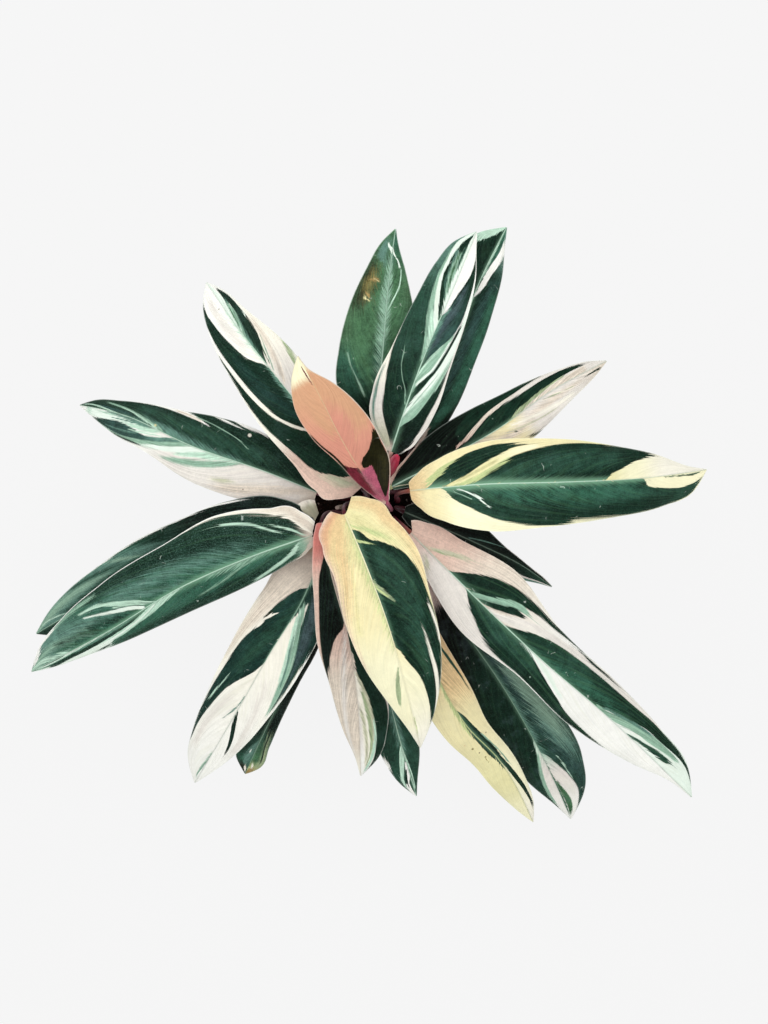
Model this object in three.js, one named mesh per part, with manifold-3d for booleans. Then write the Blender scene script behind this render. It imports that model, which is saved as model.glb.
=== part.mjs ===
// A potted prayer plant with variegated leaves, as three.js geometry.
// Millimetres, +Z up. The origin is the centre of the pot's flat underside.
//
// Every leaf is a blade and a stalk. A blade is a thin waved sheet spread over a
// curved rib, and its stalk runs from the base of that rib down into the soil.

import * as THREE from 'three';
import * as BufferGeometryUtils from 'three/addons/utils/BufferGeometryUtils.js';
import Module from 'manifold-3d';

const wasm = await Module();
wasm.setup();

// ---------------------------------------------------------------- sizes

const POT = {
  height: 150,
  rimRadius: 85,
  bandHeight: 24,
  bandProud: 4,
  footRadius: 58,
  wall: 5,
  floor: 8,
  edgeRound: 2, // of the lip and of the foot's outer edge
  cornerRound: 4, // inside, between the wall and the floor
  sides: 48,
};
const SOIL = {
  top: 136,
  crown: 5, // how much higher the middle lies
  cornerRound: 6,
  rings: 3,
};
const HOLE = {
  clearance: 0.6, // round a stalk in the soil
  rise: 14, // how far the cutting cylinder reaches past the foot depth
  sides: 16,
};
const CLEARANCE = 0.3; // between solids that would touch

const BLADE = {
  thickness: 0.8,
  baseHalfWidth: 2.2,
  tipHalfWidth: 0.5,
  bulge: 0.16, // how far each half arches, as a share of its width
  waveHeight: 2.4,
  rightWaveShift: 0.37, // how far the right margin's waves run ahead of the left's
  lobeLength: 0.15, // share of the rib over which a lobe reaches back
  baseNormal: 0.02, // the end face at the base takes its normals from here
};
const STALK = {
  sides: 8,
  steps: 12,
  radius: 1.7,
  sheathRadius: 3.3, // the leaf sheath that wraps the foot
  sheathShare: 0.5, // share of the stalk that the sheath covers
  jointRadius: 2.1, // the swollen joint under the blade
  jointLength: 15,
  bend: 21, // how far before the blade the stalk starts to follow its rib
  bladeGap: 0.4,
  footDepth: 16, // how deep a foot stands in the soil
  lean: 0.12, // share of the way out that the lower half covers
};

const LEAF_GREEN = 0x27493a;
const LEAF_DARK = 0x17322a;
const LEAF_CREAM = 0xcfd0bb;
const LEAF_YELLOW = 0xdccf96;
const LEAF_PINK = 0xdb9c88;
const STALK_COLOUR = 0x5b2530;
const SHOOT_COLOUR = 0xa02840;
const STUB_COLOUR = 0xb9a58c;
const POT_COLOUR = 0xb9b2a6;
const SOIL_COLOUR = 0x2e241d;

// Where the half widths of a blade are given, as shares of its rib.
const STATIONS = [0, 0.03, 0.1, 0.22, 0.4, 0.6, 0.8, 0.93, 1];

// One entry a leaf, named by the side of the pot that it grows towards.
//   rib          points from the base of the blade to its tip
//   left, right  how far each half spreads from the rib, at the stations between
//                base and tip, with left and right as seen from base to tip
//   tilt         slope of the left and right halves in degrees, rising outwards
//   lobes        how far the two halves reach back past the base of the rib
//   wave         number of waves along a margin, and where the first one starts
//   foot         where the stalk leaves the soil, from the pot's axis
const LEAVES = [
  {
    name: 'northwest', colour: LEAF_CREAM,
    rib: [[-13, 13, 292], [-27, 32, 300], [-71, 89, 311], [-113, 142, 296], [-148, 191, 268]],
    left: [24, 33, 34, 36, 31, 23, 12], right: [7, 13, 20, 23, 23, 14, 8],
    tilt: [8, 22], lobes: [3, 3], wave: [3.5, 0.1], foot: [-12, 9],
  },
  {
    name: 'west', colour: LEAF_CREAM,
    rib: [[-53, 9, 256], [-92, 25, 265], [-163, 50, 260], [-222, 77, 236], [-273, 90, 205]],
    left: [13, 22, 29, 30, 23, 19, 8], right: [8, 18, 30, 32, 23, 12, 7],
    tilt: [-4, 8], lobes: [3, 3], wave: [4, 0.6], foot: [-26, 5],
  },
  {
    name: 'west_back', colour: LEAF_DARK,
    rib: [[-56, -21, 266], [-101, -20, 270], [-172, -41, 254], [-250, -83, 216], [-320, -122, 180]],
    left: [17, 30, 37, 39, 34, 23, 12], right: [14, 24, 26, 25, 25, 20, 10],
    tilt: [0, 5], lobes: [3, 3], wave: [3, 0.3], foot: [-33, -10],
  },
  {
    name: 'west_front', colour: LEAF_GREEN,
    rib: [[-55, -28, 279], [-99, -43, 289], [-165, -71, 282], [-237, -113, 249], [-317, -154, 207]],
    left: [11, 17, 22, 21, 18, 13, 6], right: [25, 34, 40, 39, 39, 30, 16],
    tilt: [-25, 8], lobes: [3, 3], wave: [4, 0], foot: [-24, -8],
  },
  {
    name: 'southwest', colour: LEAF_CREAM,
    rib: [[-47, -38, 250], [-65, -84, 254], [-95, -133, 241], [-130, -193, 212], [-173, -264, 170]],
    left: [7, 16, 27, 32, 28, 19, 8], right: [16, 30, 35, 35, 33, 27, 16],
    tilt: [10, 3], lobes: [3, 3], wave: [4, 0.5], foot: [-26, -24],
  },
  {
    name: 'southwest_stub', colour: LEAF_DARK,
    rib: [[-47, -87, 232], [-62, -123, 226], [-84, -170, 208], [-106, -214, 186], [-126, -257, 163]],
    left: [6, 9, 11, 9, 9, 12, 12], right: [6, 8, 10, 14, 16, 16, 13],
    tilt: [8, 0], lobes: [3, 3], wave: [4, 0.2], foot: [-20, -35],
  },
  {
    name: 'south_left', colour: LEAF_PINK,
    rib: [[-47, -17, 290], [-39, -58, 295], [-26, -110, 283], [-18, -169, 258], [-15, -246, 224]],
    left: [4, 6, 9, 15, 25, 25, 15], right: [7, 12, 18, 26, 22, 14, 4],
    tilt: [-4, 14], lobes: [3, 3], wave: [3, 0.7], foot: [-15, -14],
  },
  {
    name: 'south_small', colour: LEAF_DARK,
    rib: [[-24, -72, 246], [-8, -117, 244], [8, -167, 230], [20, -214, 214], [36, -272, 190]],
    left: [11, 16, 21, 22, 20, 14, 5], right: [6, 10, 15, 20, 23, 19, 10],
    tilt: [-5, -5], lobes: [3, 3], wave: [4, 0.4], foot: [-8, -30],
  },
  {
    name: 'front', colour: LEAF_YELLOW,
    rib: [[-27, -10, 308], [-10, -49, 322], [8, -97, 322], [25, -158, 306], [37, -209, 285]],
    left: [32, 37, 43, 42, 37, 24, 10], right: [25, 29, 29, 33, 29, 15, 5],
    tilt: [5, 4], lobes: [14, 3], wave: [3, 0.2], foot: [-10, -2],
  },
  {
    name: 'southeast_yellow', colour: LEAF_YELLOW,
    rib: [[27, -68, 258], [47, -138, 252], [78, -197, 232], [112, -236, 206], [147, -301, 170]],
    left: [9, 11, 17, 22, 15, 12, 8], right: [7, 11, 18, 23, 21, 19, 9],
    tilt: [-14, -4], lobes: [3, 3], wave: [4, 0.8], foot: [8, -28],
  },
  {
    name: 'southeast_dark', colour: LEAF_DARK,
    rib: [[43, -60, 232], [70, -103, 226], [113, -165, 204], [152, -232, 176], [187, -305, 142]],
    left: [9, 14, 16, 22, 33, 34, 21], right: [8, 15, 25, 33, 29, 23, 8],
    tilt: [0, -6], lobes: [3, 3], wave: [3, 0.1], foot: [24, -28],
  },
  {
    name: 'southeast_long', colour: LEAF_CREAM,
    rib: [[29, -26, 282], [79, -76, 286], [140, -134, 268], [207, -192, 228], [294, -275, 182]],
    left: [24, 31, 36, 31, 29, 25, 18], right: [9, 18, 29, 24, 28, 17, 3],
    tilt: [-5, 3], lobes: [3, 3], wave: [5, 0.3], foot: [15, -14],
  },
  {
    name: 'east_dark', colour: LEAF_DARK,
    rib: [[24, -8, 252], [55, -21, 257], [91, -37, 250], [128, -55, 232], [159, -76, 212]],
    left: [9, 13, 17, 17, 8, 3, 2], right: [7, 12, 14, 14, 14, 11, 4],
    tilt: [0, -8], lobes: [3, 3], wave: [3, 0.5], foot: [25, -5],
  },
  {
    name: 'east', colour: LEAF_YELLOW,
    rib: [[28, 10, 296], [86, 15, 308], [154, 17, 304], [227, 21, 272], [295, 30, 232]],
    left: [12, 27, 37, 38, 31, 19, 5], right: [16, 28, 37, 37, 32, 26, 17],
    tilt: [3, 5], lobes: [3, 3], wave: [3.5, 0.4], foot: [19, 3],
  },
  {
    name: 'northeast', colour: LEAF_CREAM,
    rib: [[13, 14, 276], [54, 35, 282], [102, 62, 278], [151, 97, 258], [205, 127, 234]],
    left: [9, 17, 25, 27, 21, 13, 7], right: [5, 10, 18, 24, 23, 15, 7],
    tilt: [-6, -6], lobes: [3, 3], wave: [4, 0.9], foot: [22, 12],
  },
  {
    name: 'north_right', colour: LEAF_GREEN,
    rib: [[12, 43, 300], [24, 79, 308], [40, 123, 312], [61, 172, 304], [85, 231, 286]],
    left: [8, 24, 31, 28, 26, 22, 13], right: [12, 20, 25, 24, 21, 14, 5],
    tilt: [4, 10], lobes: [3, 3], wave: [3.5, 0.2], foot: [1, 20],
  },
  {
    name: 'north_back', colour: LEAF_DARK,
    rib: [[32, 50, 252], [53, 96, 262], [70, 141, 266], [89, 192, 262], [114, 243, 250]],
    left: [8, 13, 20, 24, 25, 27, 18], right: [10, 16, 20, 21, 21, 16, 6],
    tilt: [-4, -18], lobes: [3, 3], wave: [3, 0.6], foot: [19, 28],
  },
  {
    name: 'north', colour: LEAF_GREEN,
    rib: [[1, 54, 272], [1, 88, 280], [5, 130, 284], [9, 179, 280], [16, 238, 266]],
    left: [10, 20, 35, 38, 32, 20, 10], right: [11, 20, 27, 29, 24, 13, 4],
    tilt: [-6, -4], lobes: [3, 3], wave: [3, 0.5], foot: [-3, 28],
  },
  {
    name: 'new_leaf', colour: LEAF_PINK,
    rib: [[8, 0, 298], [-12, 24, 326], [-29, 52, 346], [-44, 82, 360], [-62, 115, 366]],
    left: [3, 5, 8, 12, 21, 21, 11], right: [6, 14, 24, 28, 26, 14, 2],
    tilt: [18, 14], lobes: [0, 0], wave: [2, 0.3], foot: [9, -5],
  },
];

const SHOOT = {
  path: [[10, 12, 120], [9, 16, 190], [10, 25, 260], [17, 39, 316]],
  radius: 3.4,
  footShare: 0.62, // radius at the foot, as a share of the full one
  pointShare: 0.14, // and at the tip
  pointTaper: 1.9,
  sides: 10,
  steps: 14,
};
const STUB = {
  path: [[-31, -3, 120], [-33, -3, 165], [-37, -4, 205]],
  footRadius: 2.9,
  topRadius: 1.9,
  sides: 8,
  steps: 5,
};

// Where the rows and columns of a blade's mesh lie, along the rib and across it.
const ROWS = [
  0, 0.008, 0.03, 0.065, 0.12, 0.19, 0.27, 0.36, 0.46, 0.56, 0.66, 0.76, 0.85, 0.92, 0.97, 1,
];
const COLUMNS = [-1, -0.64, -0.3, 0, 0.3, 0.64, 1];

// ---------------------------------------------------------------- curves

// Slopes of a smooth curve through values given at knots.
function knotSlopes(knots, values) {
  const last = knots.length - 1;
  const rise = (i) => (values[i + 1] - values[i]) / (knots[i + 1] - knots[i]);
  const slopes = values.map((_, i) => {
    if (i === 0 || i === last) return 0;
    const before = knots[i] - knots[i - 1];
    const after = knots[i + 1] - knots[i];
    return (rise(i - 1) * after + rise(i) * before) / (before + after);
  });
  slopes[0] = 1.5 * rise(0) - 0.5 * slopes[1];
  slopes[last] = 1.5 * rise(last - 1) - 0.5 * slopes[last - 1];
  return slopes;
}

function smoothValue(knots, values, slopes, at) {
  let k = 0;
  while (k < knots.length - 2 && at > knots[k + 1]) k += 1;
  const span = knots[k + 1] - knots[k];
  const x = (at - knots[k]) / span;
  return (2 * x ** 3 - 3 * x ** 2 + 1) * values[k]
    + (x ** 3 - 2 * x ** 2 + x) * span * slopes[k]
    + (3 * x ** 2 - 2 * x ** 3) * values[k + 1]
    + (x ** 3 - x ** 2) * span * slopes[k + 1];
}

// A curve through points, with its knots spaced by the straight distances between them.
function curveThrough(points) {
  const knots = [0];
  for (let i = 1; i < points.length; i += 1) {
    knots.push(knots[i - 1] + Math.hypot(...points[i].map((v, k) => v - points[i - 1][k])));
  }
  const length = knots.at(-1);
  const shares = knots.map((knot) => knot / length);
  const axes = [0, 1, 2].map((k) => points.map((p) => p[k]));
  const slopes = axes.map((values) => knotSlopes(shares, values));
  return (at) => new THREE.Vector3(
    ...axes.map((values, k) => smoothValue(shares, values, slopes[k], at)),
  );
}

// ---------------------------------------------------------------- blade

// How far one half of a blade spreads at a share of its rib. Close to the base it
// grows like a square root, which rounds the lobe.
function spreadFunction(halfWidths) {
  const values = [BLADE.baseHalfWidth, ...halfWidths, BLADE.tipHalfWidth];
  const slopes = knotSlopes(STATIONS, values);
  const first = STATIONS[1];
  return (at) => {
    if (at < first) return values[0] + (values[1] - values[0]) * Math.sqrt(at / first);
    return Math.max(BLADE.tipHalfWidth, smoothValue(STATIONS, values, slopes, at));
  };
}

const TANGENT_STEP = 0.004;

// A point of the blade's middle surface: along runs 0 to 1 from base to tip, and
// across runs from -1 on the left margin to 1 on the right one.
function bladeSurface(leaf) {
  const rib = curveThrough(leaf.rib);
  const spreads = [spreadFunction(leaf.left), spreadFunction(leaf.right)];
  const widest = Math.max(...leaf.left, ...leaf.right);
  const [waves, start] = leaf.wave;
  return (along, across) => {
    const side = across < 0 ? 0 : 1;
    const share = Math.abs(across);
    const centre = rib(along);
    const ahead = rib(Math.min(1, along + TANGENT_STEP));
    const heading = ahead.sub(rib(Math.max(0, along - TANGENT_STEP))).setZ(0).normalize();
    const outward = new THREE.Vector3(-heading.y, heading.x, 0).multiplyScalar(side ? -1 : 1);
    const spread = spreads[side](along);
    const reach = share * spread;
    const fullness = 1 - BLADE.baseHalfWidth / Math.max(BLADE.baseHalfWidth, spread);
    const lobe = fullness * Math.max(0, 1 - along / BLADE.lobeLength) ** 2;
    const back = leaf.lobes[side] * lobe * share ** 1.5;
    const rise = reach * Math.tan(THREE.MathUtils.degToRad(leaf.tilt[side]));
    const arch = BLADE.bulge * spread * (share - share ** 2);
    const turns = waves * along + start + BLADE.rightWaveShift * side;
    const ripple = Math.sin(2 * Math.PI * turns);
    const wave = BLADE.waveHeight * ripple * share ** 2 * (spread / widest);
    return centre
      .addScaledVector(outward, reach)
      .addScaledVector(heading, -back)
      .add(new THREE.Vector3(0, 0, rise + arch + wave));
  };
}

function surfaceNormal(surface, along, across) {
  const ahead = surface(Math.min(1, along + TANGENT_STEP), across);
  const right = surface(along, Math.min(1, across + TANGENT_STEP));
  const forward = ahead.sub(surface(Math.max(0, along - TANGENT_STEP), across));
  const rightward = right.sub(surface(along, Math.max(-1, across - TANGENT_STEP)));
  return rightward.cross(forward).normalize();
}

// A closed sheet: the same triangles on the upper and the lower face, and a rim
// between them. The fold lies along the rib, so the two halves mirror each other.
function bladeGeometry(leaf) {
  const surface = bladeSurface(leaf);
  const columns = COLUMNS.length;
  const positions = [];
  for (const side of [1, -1]) {
    for (const along of ROWS) {
      for (const across of COLUMNS) {
        const normal = surfaceNormal(surface, Math.max(along, BLADE.baseNormal), across);
        normal.multiplyScalar((side * BLADE.thickness) / 2);
        positions.push(...surface(along, across).add(normal).toArray());
      }
    }
  }
  const lower = ROWS.length * columns;
  const indices = [];
  const quad = (a, b, c, d) => indices.push(a, b, c, a, c, d);
  for (let i = 0; i < ROWS.length - 1; i += 1) {
    for (let j = 0; j < columns - 1; j += 1) {
      const a = i * columns + j;
      const b = a + 1;
      const c = b + columns;
      const d = a + columns;
      if (COLUMNS[j] < 0) {
        quad(a, b, c, d);
        indices.push(lower + a, lower + c, lower + b, lower + a, lower + d, lower + c);
      } else {
        quad(b, c, d, a);
        indices.push(lower + b, lower + d, lower + c, lower + b, lower + a, lower + d);
      }
    }
  }
  const rim = [];
  for (let j = 0; j < columns; j += 1) rim.push(j);
  for (let i = 1; i < ROWS.length; i += 1) rim.push(i * columns + columns - 1);
  for (let j = columns - 2; j >= 0; j -= 1) rim.push((ROWS.length - 1) * columns + j);
  for (let i = ROWS.length - 2; i > 0; i -= 1) rim.push(i * columns);
  rim.forEach((from, k) => {
    const to = rim[(k + 1) % rim.length];
    quad(lower + from, lower + to, to, from);
  });
  return meshGeometry(positions, indices);
}

function meshGeometry(positions, indices) {
  const geometry = new THREE.BufferGeometry();
  geometry.setAttribute('position', new THREE.Float32BufferAttribute(positions, 3));
  geometry.setIndex(indices);
  return geometry;
}

// ---------------------------------------------------------------- stalk

// A round bar of changing radius along a curve, closed at both ends.
function barGeometry(curve, radiusAt, sides, steps) {
  const positions = [];
  const indices = [];
  let reference = new THREE.Vector3(1, 0, 0);
  for (let i = 0; i <= steps; i += 1) {
    const at = i / steps;
    const tangent = curve.getTangent(at);
    reference = reference.clone().addScaledVector(tangent, -reference.dot(tangent)).normalize();
    const second = tangent.clone().cross(reference);
    const centre = curve.getPoint(at);
    for (let k = 0; k < sides; k += 1) {
      const angle = (2 * Math.PI * k) / sides;
      const point = centre.clone()
        .addScaledVector(reference, radiusAt(at) * Math.cos(angle))
        .addScaledVector(second, radiusAt(at) * Math.sin(angle));
      positions.push(...point.toArray());
    }
  }
  for (let i = 0; i < steps; i += 1) {
    for (let k = 0; k < sides; k += 1) {
      const a = i * sides + k;
      const b = i * sides + ((k + 1) % sides);
      indices.push(a, b, b + sides, a, b + sides, a + sides);
    }
  }
  const last = steps * sides;
  for (let k = 1; k < sides - 1; k += 1) {
    indices.push(0, k + 1, k);
    indices.push(last, last + k, last + k + 1);
  }
  return meshGeometry(positions, indices);
}

// From the foot the stalk rises steeply, leans out and bends over at the joint
// that carries the blade.
function stalkCurve(leaf) {
  const surface = bladeSurface(leaf);
  const base = surface(0, 0);
  const heading = surface(TANGENT_STEP * 4, 0).sub(base).normalize();
  const top = base.clone().addScaledVector(heading, -STALK.bladeGap);
  const foot = new THREE.Vector3(leaf.foot[0], leaf.foot[1], SOIL.top - STALK.footDepth);
  const lean = new THREE.Vector3().subVectors(top, foot).setZ(0).multiplyScalar(STALK.lean);
  const upright = foot.clone().add(lean).setZ((foot.z + top.z) / 2);
  const under = top.clone().addScaledVector(heading, -STALK.bend);
  return new THREE.CubicBezierCurve3(foot, upright, under, top);
}

function stalkRadius(at, length) {
  const { radius, sheathRadius, sheathShare, jointRadius, jointLength } = STALK;
  const sheath = THREE.MathUtils.smoothstep(sheathShare - at, 0, sheathShare);
  const jointStart = 1 - (1.4 * jointLength) / length;
  const jointFull = 1 - (0.6 * jointLength) / length;
  const joint = THREE.MathUtils.smoothstep(at, jointStart, jointFull);
  return radius + (sheathRadius - radius) * sheath + (jointRadius - radius) * joint;
}

function stalkGeometry(leaf) {
  const curve = stalkCurve(leaf);
  const length = curve.getLength();
  return barGeometry(curve, (at) => stalkRadius(at, length), STALK.sides, STALK.steps);
}

function pathCurve(path) {
  return new THREE.CatmullRomCurve3(path.map((point) => new THREE.Vector3(...point)));
}

// The youngest leaf is still rolled up: a slim pointed roll.
function shootGeometry() {
  const { radius, footShare, pointShare, pointTaper } = SHOOT;
  const radiusAt = (at) => {
    const foot = Math.min(1, footShare + at);
    const point = Math.min(1, pointShare + pointTaper * (1 - at));
    return radius * foot * point;
  };
  return barGeometry(pathCurve(SHOOT.path), radiusAt, SHOOT.sides, SHOOT.steps);
}

// What is left of a stalk whose leaf was cut away.
function stubGeometry() {
  const radiusAt = (at) => STUB.footRadius + (STUB.topRadius - STUB.footRadius) * at;
  return barGeometry(pathCurve(STUB.path), radiusAt, STUB.sides, STUB.steps);
}

// ---------------------------------------------------------------- pot and soil

// Inner radius of the pot at a height above its floor.
function innerRadius(z) {
  const rimInside = POT.rimRadius - POT.bandProud - POT.wall;
  const footInside = POT.footRadius - POT.wall;
  return footInside + ((rimInside - footInside) * z) / POT.height;
}

function potGeometry() {
  const { height, rimRadius, bandHeight, bandProud, footRadius, floor } = POT;
  const { wall, edgeRound, cornerRound, sides } = POT;
  const bandBottom = height - bandHeight;
  const bodyTop = innerRadius(bandBottom) + wall;
  return latheGeometry([
    [0, 0],
    [footRadius - edgeRound, 0],
    [footRadius, edgeRound],
    [bodyTop, bandBottom],
    [bodyTop + bandProud, bandBottom + 1],
    [rimRadius, height - edgeRound],
    [rimRadius - edgeRound, height],
    [innerRadius(height) + edgeRound, height],
    [innerRadius(height), height - edgeRound],
    [innerRadius(floor + cornerRound), floor + cornerRound],
    [innerRadius(floor) - cornerRound, floor],
    [0, floor],
  ], sides);
}

function latheGeometry(profile, sides) {
  const points = profile.map(([radius, z]) => new THREE.Vector2(radius, z));
  return new THREE.LatheGeometry(points, sides).rotateX(Math.PI / 2);
}

// Plain rounded bed of soil, a little higher in the middle, before its holes.
function soilBed() {
  const { top, crown, cornerRound, rings } = SOIL;
  const fit = Math.cos(Math.PI / POT.sides); // the flats of the pot's round wall
  const radiusAt = (z) => innerRadius(z) * fit - CLEARANCE;
  const bottom = POT.floor + CLEARANCE;
  const edge = top - crown;
  const profile = [
    [0, bottom],
    [radiusAt(bottom) - cornerRound, bottom],
    [radiusAt(bottom + cornerRound), bottom + cornerRound],
  ];
  for (let i = 0; i <= rings; i += 1) {
    const share = 1 - i / rings;
    profile.push([radiusAt(edge) * share, top - crown * share ** 2]);
  }
  return latheGeometry(profile, POT.sides);
}

function toManifold(geometry) {
  const bare = geometry.clone();
  bare.deleteAttribute('normal');
  bare.deleteAttribute('uv');
  const merged = BufferGeometryUtils.mergeVertices(bare, 1e-4);
  return new wasm.Manifold(new wasm.Mesh({
    numProp: 3,
    vertProperties: new Float32Array(merged.attributes.position.array),
    triVerts: new Uint32Array(merged.index.array),
  }));
}

function fromManifold(solid) {
  const { vertProperties, triVerts } = solid.getMesh();
  const geometry = new THREE.BufferGeometry();
  geometry.setAttribute('position', new THREE.BufferAttribute(vertProperties, 3));
  geometry.setIndex(new THREE.BufferAttribute(triVerts, 1));
  return geometry;
}

// The hole for one stalk: a plain round hole along the foot of its curve.
function footHole(curve, radius) {
  const foot = curve.getPoint(0);
  const slope = curve.getTangent(0);
  const depth = STALK.footDepth + HOLE.rise;
  const hole = new THREE.CylinderGeometry(radius, radius, depth, HOLE.sides);
  const upwards = new THREE.Vector3(0, 1, 0);
  hole.applyQuaternion(new THREE.Quaternion().setFromUnitVectors(upwards, slope));
  const middle = foot.addScaledVector(slope, depth / 2 - HOLE.clearance);
  return hole.translate(...middle.toArray());
}

function soilGeometry() {
  const feet = LEAVES.map((leaf) => [stalkCurve(leaf), STALK.sheathRadius]);
  feet.push([pathCurve(SHOOT.path), SHOOT.radius], [pathCurve(STUB.path), STUB.footRadius]);
  let soil = toManifold(soilBed());
  for (const [curve, radius] of feet) {
    soil = soil.subtract(toManifold(footHole(curve, radius + HOLE.clearance)));
  }
  return fromManifold(soil);
}

// ---------------------------------------------------------------- assembly

function piece(name, geometry, colour, roughness) {
  const material = new THREE.MeshStandardMaterial({ color: colour, roughness, metalness: 0 });
  const mesh = new THREE.Mesh(geometry, material);
  mesh.name = name;
  return mesh;
}

const plant = new THREE.Group();
plant.add(piece('pot', potGeometry(), POT_COLOUR, 0.7));
plant.add(piece('soil', soilGeometry(), SOIL_COLOUR, 0.95));
for (const leaf of LEAVES) {
  plant.add(piece(`blade_${leaf.name}`, bladeGeometry(leaf), leaf.colour, 0.4));
  plant.add(piece(`stalk_${leaf.name}`, stalkGeometry(leaf), STALK_COLOUR, 0.5));
}
plant.add(piece('rolled_shoot', shootGeometry(), SHOOT_COLOUR, 0.45));
plant.add(piece('cut_stub', stubGeometry(), STUB_COLOUR, 0.8));

export default plant;
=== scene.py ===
import math
import random

import bmesh
import bpy
import numpy as np
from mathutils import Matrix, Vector, noise


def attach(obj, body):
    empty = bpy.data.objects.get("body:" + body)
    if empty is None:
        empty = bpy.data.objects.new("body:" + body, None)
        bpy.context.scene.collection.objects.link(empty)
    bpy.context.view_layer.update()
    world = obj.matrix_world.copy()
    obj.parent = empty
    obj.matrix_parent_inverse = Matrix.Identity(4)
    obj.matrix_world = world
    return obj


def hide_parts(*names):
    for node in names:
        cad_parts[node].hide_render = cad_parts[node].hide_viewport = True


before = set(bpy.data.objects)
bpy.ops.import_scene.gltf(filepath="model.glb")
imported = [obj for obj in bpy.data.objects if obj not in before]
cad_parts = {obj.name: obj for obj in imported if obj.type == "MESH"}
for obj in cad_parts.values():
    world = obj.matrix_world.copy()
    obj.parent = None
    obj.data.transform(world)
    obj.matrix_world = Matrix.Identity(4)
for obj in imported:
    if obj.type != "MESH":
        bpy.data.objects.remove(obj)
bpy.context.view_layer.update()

bl_info = {
    "name": "Potted stromanthe",
    "version": (1, 0, 0),
    "blender": (4, 5, 0),
    "location": "3D View > Sidebar > Stromanthe",
    "description": "Dresses a potted stromanthe: blades, stalks, shoot, pot, soil and stage",
    "category": "Object",
}

MM = 0.001

# Blade form, in millimetres and shares. A half's width is given at the stations along the rib.
STATIONS = (0, 0.03, 0.1, 0.22, 0.4, 0.6, 0.8, 0.93, 1)
BASE_HALF_WIDTH = 2.2
TIP_HALF_WIDTH = 0.5
BULGE = 0.16
WAVE_HEIGHT = 2.4
RIGHT_WAVE_SHIFT = 0.37
LOBE_LENGTH = 0.15
ROW_CROWDING = 0.055
COLUMN_CROWDING = 1.2

# Side veins leave the rib at a slant and hook forwards near the margin, as shares of the rib.
VEIN_SLANT = 0.22
VEIN_HOOK = 0.3
PLEAT_SPACING = 9.5

# The ridge under the rib: its half width and how far that narrows.
RIDGE_HALF_WIDTH = 1.9
RIDGE_TAPER = 1.2

# Stalks, in millimetres: they widen into a sheath below and have a swollen joint below the blade.
STALK_FOOT_HEIGHT = 120
STALK_RADIUS = 1.7
SHEATH_EXTRA = 1.6
JOINT_EXTRA = 0.4
JOINT_LENGTH = 15
STALK_BEND = 21
STALK_LEAN = 0.12

# Courses of the rolled shoot and the cut stub, and the corners of the dry sheath, in millimetres.
SHOOT_COURSE = ((10, 12, 120), (9, 16, 190), (10, 25, 260), (17, 39, 316))
SHOOT_STATIONS = (0, 0.5, 0.72, 0.9, 0.97, 1)
SHOOT_RADII = (2.2, 3.2, 4.7, 4.6, 3.2, 0.8)
STUB_COURSE = ((-31, -3, 120), (-33, -3, 165), (-37, -4, 205))
STUB_RADII = (2.9, 1.9)
SHEATH_CORNERS = (((-55, -17, 263), (-51, -9, 264)), ((-70, -2, 266), (-54, 2, 270)))

# Radius and height of the pot's wall, from under the foot, up outside, over the rim and down inside.
POT_PROFILE = (
    (54, 0), (57, 0.6), (58, 2.2), (66, 60), (75.6, 124.5), (76.6, 126), (79, 126.6),
    (80.2, 127.4), (84.7, 147.4), (84.4, 149), (82.6, 150), (80, 150), (78.4, 149.6),
    (76, 147.8), (66, 80), (54.8, 12), (50.3, 8.4), (40, 8),
)
POT_SIDES = 128

# The soil falls from its middle to the pot's wall. Chips lie on it, stretched along three axes.
SOIL_HEIGHT = 136
SOIL_FALL = 5
SOIL_RADIUS = 75
SCATTER_RADIUS = 66
CHIP_STRETCH = ((0.6, 1.5), (0.5, 1.1), (0.3, 0.7))
CHIP_ROUGHNESS = 0.25

# Stage, in metres. The lens is given as it covers a frame 1024 pixels high.
FLOOR_DEPTH = 0.0005
FLOOR_GLOW = 0.873
CAMERA_PLACE = (0.006, -0.008, 1.35)
LENS_IN_PIXELS = 1247
FRAME_HEIGHT = 1024
SENSOR_WIDTH = 36

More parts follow.
